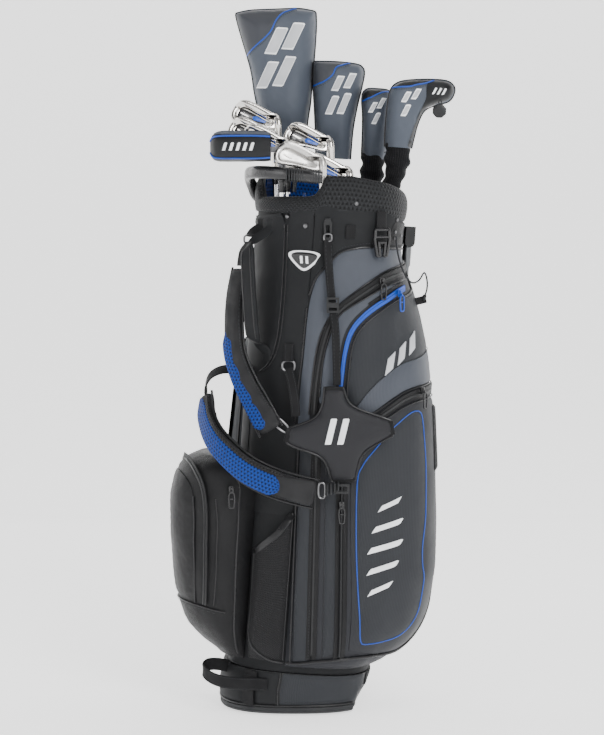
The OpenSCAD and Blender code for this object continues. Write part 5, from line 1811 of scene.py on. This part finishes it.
def make_irons():
    head, insert, badge, lines, grooves = iron_meshes()
    kinds = (("head_forged", head, CHROME, "chrome"), ("insert", insert, GLOSS, "gloss_black"),
             ("badge", badge, BADGE_BLUE, "blue_plastic"), ("badge_lines", lines, SATIN, "chrome"),
             ("grooves", grooves, PLASTIC, "gloss_black"))
    shared = {}
    for club, (x, y, z) in UPRIGHT.items():
        for kind, geo, material, slot in kinds:
            if club == "sand_wedge" and kind in ("insert", "badge"):
                continue
            if club == "sand_wedge" and kind == "head_forged":
                material = SATIN
            key = (kind, material.name)
            if key not in shared:
                obj = geo.make(club + "_" + kind, material, club, sharp=50, slot=slot)
                shared[key] = obj.data
                obj.location = (x * MM, y * MM, z * MM)
            else:
                obj = bpy.data.objects.new(club + "_" + kind, shared[key])
                bpy.context.collection.objects.link(obj)
                obj.location = (x * MM, y * MM, z * MM)
                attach(obj, club)
            if kind == "head_forged":
                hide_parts(club + "_head")
        base = WELL_FLOOR + FLOOR_GAP
        make_shaft(club, (x, y, base), (0, 0, 1), z - HOSEL_LEN - NECK_GAP - base, SHAFT, 13)


make_irons()


def make_woods():
    for club, (u, v, w) in LEANED.items():
        foot = WELL_FLOOR + LEANED_UP
        make_shaft(club, on_lean(u, v, foot), on_lean(0, 0, 1.0), w - NECK_DOWN - foot,
                   GRAPHITE, 2)
    x, y, z = PUTTER_AT
    base = WELL_FLOOR + FLOOR_GAP
    make_shaft("putter", (x, y, base), (0, 0, 1), z + 28 - HOSEL_LEN - NECK_GAP - base, SHAFT, 9)

    # Hybrid 5 head, which lies within its cover's toe
    head = Geo()
    rows = [(959, 95, 6.8, 8, 6.8), (984, 95, 6.8, 8, 6.8), (990, 97, 10, 8, 9),
            (998, 103, 17, 8, 13), (1008, 112, 23, 8, 16), (1018, 124, 33, 8, 18),
            (1028, 132, 42, 8, 19), (1038, 136, 44, 8, 18), (1046, 136, 38, 8, 14),
            (1050, 134, 20, 8, 8)]
    loft(head, [on_lean(*oval(a, b, cu, cv, 2.3, 36).T, w) for w, cu, a, cv, b in
                [(r[0], r[1], r[2], r[3], r[4]) for r in rows]])
    head.make("hybrid_5_body", HEAD, "hybrid_5", slot="head_black", replaces=["hybrid_5_head"])

    # Driver head, a little slimmer at its toe so that it lies within the cover
    head = Geo()
    u, v, w = LEANED["driver"]
    rings = [on_lean(*oval(6.8, 6.8, u, v, 2.0, 36).T, w + low) for low in (-27, -6)]
    for up, du, dv, a, b in [(2, -8, 3, 11, 10), (10, -22, 8, 25, 17), (24, -40, 15, 40, 27),
                             (36, -44, 17, 46, 30), (48, -45, 18, 47, 31), (60, -46, 18, 44, 28),
                             (68, -46, 17, 36, 22), (72, -46, 16, 22, 12), (73, -46, 16, 4, 2)]:
        rings.append(on_lean(*oval(a, b, u + du, v + dv, 2.1, 36).T, w + up))
    loft(head, rings)
    head.make("driver_body", HEAD, "driver", slot="head_black", replaces=["driver_head"])


make_woods()


# ---- head covers ------------------------------------------------------------

class Pillow:
    """Head cover sewn from two faces: flat at its seam, full in its middle, open below."""

    def __init__(self, seam, middle_v, half, reach, amount=1.6, size=40, seed=0.0):
        self.seam = smooth(seam, 6)
        self.middle_v, self.half, self.reach = middle_v, half, reach
        self.amount, self.size, self.seed = amount, size, seed
        self.bulge = lambda w: 1.0

    def swell(self, u, w):
        points = np.stack([np.ravel(u), np.ravel(w)], -1)
        d = distance(points, self.seam, closed=False)
        return (self.half * crown(d, self.reach) * self.bulge(points[:, 1])).reshape(
            np.shape(u)), d.reshape(np.shape(u))

    def side(self, u, w, out, way):
        """Points of the front, way -1, or of the back, way 1."""
        u, w = floats(u, w)
        half, d = self.swell(u, w)
        flat = np.stack([u, w * 0.42, np.full(u.shape, 50.0 if way > 0 else 0.0)], -1)
        fold = self.amount * ripple(flat, self.size, self.seed) * np.clip(d / 14, 0, 1)
        return on_lean(u, self.middle_v + way * (half + fold + out), w)

    def front(self, u, w, out=0.0):
        return self.side(u, w, out, -1)

    def back(self, u, w, out=0.0):
        return self.side(u, w, out, 1)

    def build(self, name, material, body, replaces, step=6.0):
        geo = Geo()
        points, faces, n = triangulate(self.seam, step)
        u, w = points.T
        front, back = self.front(u, w), self.back(u, w)
        m = len(points)
        # The seam's points meet; along the open mouth the wall is turned in instead
        near = distance(points[:n], self.seam, closed=False) < 0.4
        uv = points * MM
        if area(points[faces[0]]) < 0:
            faces = [list(reversed(f)) for f in faces]
        # Seen from -Y, u runs right and w up: the front's faces run that way round
        all_faces = [list(f) for f in faces] + [[m + i for i in reversed(f)] for f in faces]
        uvs = [[tuple(uv[i % m]) for i in f] for f in all_faces]
        ring = range(n) if area(points[:n]) > 0 else range(n - 1, -1, -1)
        ring = list(ring)
        for k, i in enumerate(ring):
            j = ring[(k + 1) % n]
            if near[i] and near[j]:
                continue
            all_faces.append([j, i, m + i, m + j])
            uvs.append([tuple(uv[q % m]) for q in all_faces[-1]])
        verts = np.concatenate([front, back])
        geo.add(verts, all_faces, uvs)
        obj = geo.make(name, material, body, sharp=60, slot="cover_grey", replaces=replaces)
        mesh = bmesh.new()
        mesh.from_mesh(obj.data)
        bmesh.ops.remove_doubles(mesh, verts=mesh.verts, dist=0.0002)
        mesh.to_mesh(obj.data)
        mesh.free()
        for polygon in obj.data.polygons:
            polygon.use_smooth = True
        return obj


def bunch(pieces, top):
    """Gives each piece of a soft cover a mesh of its own."""
    for piece in pieces:
        [float(c) for c in on_lean(0, 0, 1.0)]
        [float(c) for c in on_lean(*top) * MM]
        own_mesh(piece)


def cover_trim(cover, name, body, blue_line, dark_panel, bars, dark=COVER_DARK):
    trim = Geo()
    seam = even(cover.seam, 4)
    path = on_lean(seam[:, 0], np.full(len(seam), cover.middle_v), seam[:, 1])
    sweep(trim, path, circle(1.7))
    made = [trim.make(name + "_piping", TRIM, body, slot="cover_black")]
    panel = Geo()
    blue = Geo()
    for face_of in (cover.front, cover.back):
        patch(panel, face_of, dark_panel, base=1.5, rise=0.8, fall=4, thick=2.4, step=4,
              scale=1)
        piping(blue, face_of, smooth(blue_line), 1.2, 1.3, 1)
    made.append(panel.make(name + "_yoke", dark, body, slot="cover_black"))
    made.append(blue.make(name + "_blue_piping", BLUE, body, slot="blue_plastic"))
    threads = Geo()
    stitches(threads, cover.front, smooth([(a + 1.5, b - 4) for a, b in blue_line]), 0.6, 4,
             2.4, 0.4, 1)
    made.append(threads.make(name + "_stitching", THREAD, body, slot="cover_grey"))
    silver, white = Geo(), Geo()
    for bar in bars:
        centre = np.mean(bar, axis=0)
        slim = [tuple(np.array(p) + unit(centre - np.array(p)) * 3.0) for p in bar]
        patch(white, cover.front, bar, base=0.7, rise=0.5, fall=1.5, thick=1.2, step=4,
              scale=1)
        patch(silver, cover.front, slim, base=1.6, rise=0.5, fall=1.5, thick=1.2, step=4,
              scale=1)
    made.append(white.make(name + "_mark_edge", WHITE, body, slot="cover_grey"))
    made.append(silver.make(name + "_mark", SILVER, body, slot="cover_grey"))
    return made


def slanted(u, w, long_way, wide, lean_by):
    """Slanted bar with its middle at (u, w)."""
    return [(u - wide / 2 - lean_by / 2, w - long_way / 2),
            (u + wide / 2 - lean_by / 2, w - long_way / 2),
            (u + wide / 2 + lean_by / 2, w + long_way / 2),
            (u - wide / 2 + lean_by / 2, w + long_way / 2)]


def sock(name, body, rows, seed):
    """Knit sock below a cover, in soft rings."""
    geo = Geo()
    rows = np.asarray(rows, float)
    heights = np.linspace(rows[0][0], rows[-1][0], 34)
    rings = []
    for w in heights:
        cu, a, cv, b = (np.interp(w, rows[:, 0], rows[:, k]) for k in (1, 2, 3, 4))
        ring = oval(a, b, cu, cv, 2.3, 44)
        way = unit(ring - [cu, cv])
        t = np.arange(44) / 44 * 2 * math.pi
        crease = 1.5 * np.sin(w / 3.4 + 1.2 * np.sin(t + seed)) \
            + 1.3 * np.sin(w / 6.1 - 1.5 * np.cos(t * 2 + seed))
        ring = ring + way * crease[:, None]
        rings.append(on_lean(ring[:, 0], ring[:, 1], np.full(44, w)))
    loft(geo, rings)
    return geo.make(name, SOCK, body, slot="cover_black", sharp=80)


def make_covers():
    driver = Pillow([(-119, 936), (-127, 962), (-134, 992), (-143, 1024), (-150, 1056),
                     (-160, 1086), (-171, 1115), (-180, 1140), (-185, 1156), (-185, 1156),
                     (-160, 1163), (-117, 1168), (-76, 1172), (-48, 1169), (-48, 1169),
                     (-45.5, 1144), (-45, 1102),
                     (-46, 1059), (-46, 1017), (-48, 992), (-50, 962), (-52, 936)],
                    96, 40, 32, 4.4, 34)
    driver.bulge = lambda w: 0.74 + 0.26 * ease(940, 1010, w)
    shell = driver.build("driver_cover_body", COVER, "driver_headcover", ["driver_cover"])
    s_line = [(-82, 1171), (-93, 1166), (-104, 1160), (-114, 1147), (-121, 1129),
              (-131, 1116), (-147, 1100), (-160, 1086)]
    trim = cover_trim(driver, "driver_cover", "driver_headcover", s_line,
               [*smooth(s_line), (-170, 1113), (-180, 1140), (-183.5, 1154), (-160, 1161),
                (-117, 1166)],
               [slanted(-111, 1112, 46, 20, 18), slanted(-83, 1122, 46, 20, 18),
                slanted(-122, 1054, 46, 18, 18), slanted(-94, 1062, 52, 18, 20)])
    bunch([shell, *trim], (-117, 96, 1172))
    fairway = Pillow([(-30, 922), (-33, 955), (-38, 1000), (-42, 1030), (-45, 1060),
                      (-46, 1084), (-46, 1084), (-8, 1086), (24, 1085), (37, 1081),
                      (42, 1070), (39, 1044), (34, 1014), (30, 980), (29, 955), (29, 922)],
                     86, 32, 26, 3.6, 28, 3.0)
    fairway.bulge = lambda w: 0.68 + 0.32 * ease(925, 985, w)
    shell = fairway.build("fairway_cover_body", COVER, "fairway_headcover",
                          ["fairway_cover"])
    s_line = [(16, 1085), (5, 1081), (-7, 1075), (-12, 1062), (-24, 1051), (-36, 1045),
              (-43, 1042)]
    trim = cover_trim(fairway, "fairway_cover", "fairway_headcover", s_line,
               [*smooth(s_line), (-44, 1060), (-44.5, 1082), (-8, 1084)],
               [slanted(-2, 1048, 26, 12, 10), slanted(18, 1054, 26, 12, 10),
                slanted(-9, 1011, 32, 12, 11), slanted(11, 1015, 36, 12, 12)])
    bunch([shell, *trim], (0, 86, 1086))
    hybrid = Pillow([(48, 926), (47, 939), (46, 970), (44, 1001), (41, 1022), (42, 1037),
                     (50, 1044), (66, 1045), (84, 1044), (90, 1036), (91, 1015), (90, 985),
                     (90, 955), (88, 926)], 79, 27, 17, 1.9, 22, 6.0)
    hybrid.bulge = lambda w: 0.75 + 0.25 * ease(928, 970, w)
    hybrid.build("hybrid_4_cover_body", COVER, "hybrid_4_headcover", ["hybrid_4_cover"])
    s_line = [(88, 1041), (78, 1040), (68, 1036), (56, 1029), (42, 1022)]
    cover_trim(hybrid, "hybrid_4_cover", "hybrid_4_headcover", s_line,
               [*smooth(s_line), (43, 1035), (51, 1042.5), (66, 1043.5), (84, 1042.5)],
               [slanted(60, 1012, 18, 8, 8), slanted(74, 1020, 18, 8, 8),
                slanted(67, 994, 20, 8, 8)], COVER_BLACK)
    knitted = sock("hybrid_4_cover_sock", "hybrid_4_headcover",
                   [(878, 66, 17, 79, 17), (895, 67, 19, 79, 19), (915, 67, 20, 79, 20),
                    (930, 67, 19, 79, 20), (940, 68, 18, 79, 18)], 1.0)
    bunch([knitted], (67, 79, 940))
    toe = Pillow([(83, 946), (82, 965), (82, 990), (83, 1023), (87, 1044), (99, 1055),
                  (120, 1060), (150, 1063), (176, 1063), (188, 1058), (193, 1049),
                  (190, 1036), (183, 1028), (172, 1024), (152, 1016), (142, 1006), (135, 986),
                  (131, 965), (128, 946)], 8, 26, 18, 1.9, 22, 9.0)
    toe.bulge = lambda w: 0.8 + 0.2 * ease(948, 990, w)
    toe.build("hybrid_5_cover_body", COVER, "hybrid_5_headcover", ["hybrid_5_cover"])
    s_line = [(156, 1061), (142, 1055), (129, 1052), (117, 1048), (100, 1046), (88, 1044)]
    cover_trim(toe, "hybrid_5_cover", "hybrid_5_headcover", s_line,
               [*smooth(s_line), (100, 1054), (120, 1058.5), (150, 1061.5)],
               [slanted(112, 1030, 18, 9, 8), slanted(128, 1036, 18, 9, 8),
                slanted(113, 1008, 20, 9, 8)], COVER_BLACK)
    nose = Geo()
    outline = [(150, 1061), (176, 1061), (187, 1056), (191, 1048), (188, 1038), (182, 1030),
               (171, 1026), (151, 1018), (141, 1008), (133.5, 986), (129.5, 965), (127, 948),
               (120, 948), (124, 965), (131, 988), (138, 1010), (145, 1030), (144, 1052)]
    for surface in (toe.front, toe.back):
        patch(nose, surface, outline, base=0.6, rise=1.0, fall=5, thick=1.4, step=5, scale=1)
    nose.make("hybrid_5_cover_nose", COVER_BLACK, "hybrid_5_headcover", slot="cover_black")
    nose_mark = Geo()
    for k in range(3):
        patch(nose_mark, toe.front, slanted(158 + 8 * k, 1043, 11, 3.6, 5), base=1.8,
              rise=0.4, fall=1, thick=1.0, step=2.5, scale=1)
    nose_mark.make("hybrid_5_cover_number", WHITE, "hybrid_5_headcover", slot="cover_grey")
    knitted = sock("hybrid_5_cover_sock", "hybrid_5_headcover",
                   [(872, 96, 13, 8, 14), (885, 99, 15, 8, 16), (905, 105, 18, 8, 17),
                    (930, 106, 21, 8, 19), (948, 105, 21, 8, 20), (958, 105, 19, 8, 18)],
                   2.6)
    bunch([knitted], (105, 8, 958))

    tag = Geo()
    pivot = np.array([168, -24, 1020.0])
    eight = [(12.2 * math.cos(math.radians(22.5 + 45 * k)),
              -9.5 + 12.2 * math.sin(math.radians(22.5 + 45 * k))) for k in range(8)]

    def tag_face(x, y, out=0.0):
        x, y, out = floats(x, y, out)
        return on_lean(pivot[0] + x, pivot[1] - out, pivot[2] + y)

    patch(tag, tag_face, eight, base=0.4, rise=1.1, fall=2.5, thick=1.9, step=3, scale=1)
    line = smooth([(-0.5, 1.6), (-2.6, 5.0), (0, 9.4), (2.6, 5.0), (0.5, 1.6)], 5)
    sweep(tag, tag_face(line[:, 0], line[:, 1], np.zeros(len(line))), circle(0.8, 8))
    tag.make("number_tag", PLASTIC, "tag", slot="moulded", replaces=["cover_tag"])


make_covers()


def make_putter_cover():
    """Mallet cover: black side band between blue piped edges, grey top, open at one end."""
    rows = [(-18, 37, -2, 42), (-30, 37.4, -3.4, 43.4), (-50, 37, -4, 44), (-72, 36, -4, 44),
            (-90, 33, -4, 44), (-102, 28, -3.6, 43.6), (-110, 21, -2, 42), (-115, 12, 3, 37),
            (-117, 4, 12, 28)]
    at = np.array(PUTTER_AT, float)

    def ring(x, half, low, high):
        p = oval(half, (high - low) / 2, 0, 0, 3.4, 48)
        return np.column_stack([np.full(48, x), -25 - p[:, 0], (high + low) / 2 + p[:, 1]]) + at

    xs = np.array([r[0] for r in rows], float)[::-1]

    def row(x):
        return [float(np.interp(x, xs, np.array([r[k] for r in rows])[::-1]))
                for k in (1, 2, 3)]

    stations = [*np.linspace(-18, -100, 24), -104, -108, -111, -113.5, -115.5, -117]
    shell = Geo()
    outer = [ring(x, *row(x)) for x in stations]
    soft = []
    for p in outer:
        centre = p.mean(0)
        soft.append(p + unit(p - centre) * (0.9 * ripple(p, 22, 4.0))[:, None])
    inner = [ring(x, *(np.array(row(x)) + [-3.2, 3.2, -3.2])) for x in
             np.linspace(-108, -18, 12)]
    loft(shell, [*inner, *soft])
    shell.make("putter_cover_body", COVER_BLACK, "putter_headcover", slot="cover_black",
               sharp=70, replaces=["putter_cover"])

    def edge(z_share, x_low=-116.0):
        """Line round the cover at a share of its height, out to its closed end and back."""
        line = []
        for way in (1, -1):
            run = np.linspace(-19, x_low, 30) if way == 1 else np.linspace(x_low, -19, 30)
            for x in run:
                half, low, high = row(x)
                share = abs(2 * z_share - 1)
                wide = half * (1 - share ** 3.4) ** (1 / 3.4)
                line.append((x, -25 - way * wide, low + (high - low) * z_share))
        return np.array(line) + at

    blue = Geo()
    for share in (0.1, 0.86):
        line = edge(share)
        middle = at + [-60, -25, 20]
        sweep(blue, even(line + unit((line - middle) * [1, 1, 0]) * 0.8, 4), circle(1.5))
    blue.make("putter_cover_blue_piping", BLUE, "putter_headcover", slot="blue_plastic")

    def top_face(x, y, out=0.0):
        x, y, out = floats(x, y, out)
        data = np.array([row(v) for v in x.ravel()]).reshape(*x.shape, 3)
        half, low, high = data[..., 0], data[..., 1], data[..., 2]
        share = np.clip(np.abs(y) / half, 0, 0.97)
        rise = (high - low) / 2 * (1 - share ** 3.4) ** (1 / 3.4)
        return np.stack([x, -25 - y, (high + low) / 2 + rise + out], -1) + at

    outline = [(-20, -30), (-60, -29.5), (-85, -27), (-100, -22), (-108, -14), (-111, 0),
               (-108, 14), (-100, 22), (-85, 27), (-60, 29.5), (-20, 30), (-20, 30),
               (-20, -30), (-20, -30)]
    top = Geo()
    patch(top, top_face, smooth(outline, 5, True), base=0.8, rise=1.4, fall=6, thick=1.8,
          step=6, scale=1)
    top.make("putter_cover_top", COVER, "putter_headcover", slot="cover_grey")

    def side_face(x, z, out=0.0):
        x, z, out = floats(x, z, out)
        data = np.array([row(v) for v in x.ravel()]).reshape(*x.shape, 3)
        half, low, high = data[..., 0], data[..., 1], data[..., 2]
        share = np.clip(np.abs(2 * (z - low) / (high - low) - 1), 0, 0.97)
        wide = half * (1 - share ** 3.4) ** (1 / 3.4)
        return np.stack([x, -25 - wide - out, z], -1) + at

    mark = Geo()
    for k in range(5):
        patch(mark, side_face, slanted(-92 + 11 * k, 20, 13, 5, 4), base=1.2, rise=0.4,
              fall=1, thick=1.2, step=2.5, scale=1)
    mark.make("putter_cover_bars", WHITE, "putter_headcover", slot="cover_grey")
    rest = Geo()
    for y in (-20, 0, 20):
        ribbon(rest, top_face, [(-24, y), (-60, y), (-98, y * 0.7)], 1.6, 0.8, 2.4, 1)
    rest.make("putter_cover_channels", TRIM, "putter_headcover", slot="cover_black")


make_putter_cover()


# ---- anchor of the elastic loop, and towel hanger ---------------------------

def make_anchor():
    """Cloth tab on the front pocket's side that holds the elastic's end in a bead."""
    end, before = (np.array(p) * 1000 for p in (BUNGEE_M[-1], BUNGEE_M[-2]))
    tab = Geo()
    path = smooth([(190, -30, 678), (202, -26, 680), (212, -23, 682), (219, -21, 684)], 5)
    sweep(tab, path, slab(13, 2.4, 10, 4), np.tile([0.3, -1.0, 0], (len(path), 1)))
    tab.make("bungee_tab", WEB, slot="webbing")
    bead = Geo()
    tie(bead, end - unit(before - end) * 5, unit(before - end), 3.4, 1.0, 20,
        ((0.2, 0), (0.8, 0.3), (1.0, 1.6), (1.0, 8), (0.8, 10), (0.5, 10.6)))
    bead.make("bungee_bead", PLASTIC, slot="moulded")


make_anchor()


def make_hanger():
    """Open clip on its bar: a square eye above, two tapering legs joined below."""
    pivot = np.array([142, -103, 800.0])
    a = math.radians(30)
    across, out = np.array([math.cos(a), math.sin(a), 0]), np.array([math.sin(a), -math.cos(a), 0])

    def bar(geo, points, width, thick, closed=False):
        path = smooth(points, 4, closed=closed)
        path = np.stack([pivot + across * x + np.array([0, 0, z]) for x, z in path])
        sweep(geo, path, slab(width, thick, 10, 4), np.tile(out, (len(path), 1)),
              closed=closed)

    clip = Geo()
    bar(clip, [(-13, 1), (-13, 1), (13, 1), (13, 1), (13.5, -12), (14, -17), (9, -42),
               (9, -42), (4, -43), (4, -43), (6.5, -20), (6.5, -20), (-6.5, -20), (-6.5, -20),
               (-4, -43), (-4, -43), (-9, -42), (-9, -42), (-14, -17), (-13.5, -12)],
        4.6, 5.6, closed=True)
    bar(clip, [(-12, -11), (0, -11), (12, -11)], 4.0, 4.6)
    clip.make("hanger_clip", GLOSS, "hanger", slot="gloss_black", replaces=["hanger_buckle"])
    strap = Geo()
    bar(strap, [(0, 30), (0, 18), (0, 8), (0, 2)], 19, 2.4)
    strap.make("hanger_strap", WEB, slot="webbing")


make_hanger()


# ---- materials of the CAD nodes that stay -----------------------------------

KEPT = {"frame_stays": PLASTIC, "leg_bracket": PLASTIC, "actuator_rod": STEEL,
        "strap_buckles": PLASTIC, "putter_head": PUTTER,
        "fairway_head": HEAD, "hybrid_4_head": HEAD}
for node, material in KEPT.items():
    for material_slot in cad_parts[node].material_slots:
        material_slot.material = material


# ---- stage ------------------------------------------------------------------

def make_stage():
    """Pale floor that curves up into a backdrop."""
    profile = [(-40.0, 0.0), (-8.0, 0.0), (0.9, 0.0), (2.2, 0.05), (3.6, 0.35),
               (4.8, 1.1), (5.5, 2.4), (5.8, 4.0), (5.8, 7.0)]
    line = smooth(profile, 8)
    verts = [(x, y, z) for y, z in line for x in (-40.0, 40.0)]
    faces = [[2 * i, 2 * i + 1, 2 * i + 3, 2 * i + 2] for i in range(len(line) - 1)]
    # A low wall all round keeps the side views pale
    turn = np.linspace(0, 2 * math.pi, 96, endpoint=False)
    wall = smooth([(8.5, 0.001), (9.8, 0.05), (10.6, 0.5), (11.0, 1.4), (11.0, 3.0)], 6)
    rings, _ = grid_faces(len(wall), 96, True, False)
    faces += [[len(verts) + i for i in f] for f in rings]
    verts += [(r * math.cos(t), r * math.sin(t), z) for r, z in wall for t in turn]
    mesh = bpy.data.meshes.new("floor")
    mesh.from_pydata(verts, [], faces)
    for polygon in mesh.polygons:
        polygon.use_smooth = True
    m = Nodes("floor_paper")
    tone = m.mix(m.noise(0.4, 2), (0.86, 0.86, 0.86, 1), (0.88, 0.88, 0.88, 1))
    m.shader.inputs["Emission Color"].default_value = (1, 1, 1, 1)
    mesh.materials.append(m.done(tone, 0.9, Emission_Strength=1.25))
    floor = bpy.data.objects.new("floor", mesh)
    bpy.context.collection.objects.link(floor)


def make_light(name, place, target, size, power):
    data = bpy.data.lights.new(name, "AREA")
    data.shape = "RECTANGLE"
    data.size, data.size_y = size
    data.energy = power
    light = bpy.data.objects.new(name, data)
    light.location = place
    light.rotation_euler = (Vector(target) - Vector(place)).to_track_quat("-Z", "Y").to_euler()
    bpy.context.collection.objects.link(light)


make_stage()
make_light("key", (1.3, -2.6, 2.3), (0, 0, 0.8), (1.0, 1.4), 62)
make_light("fill", (-2.6, -2.2, 1.6), (0, 0, 0.6), (1.0, 2.0), 12)
make_light("rim_left", (-2.0, 1.4, 1.4), (0, 0, 0.7), (0.6, 2.0), 9)
make_light("rim_right", (2.2, 1.2, 1.6), (0, 0, 0.7), (0.6, 2.0), 14)
make_light("top", (0, -0.4, 3.2), (0, 0, 0.5), (2.4, 2.4), 25)

world = bpy.data.worlds.new("studio")
bpy.context.scene.world = world
world.use_nodes = True
world.node_tree.nodes["Background"].inputs["Color"].default_value = (1, 1, 1, 1)
world.node_tree.nodes["Background"].inputs["Strength"].default_value = 0.33
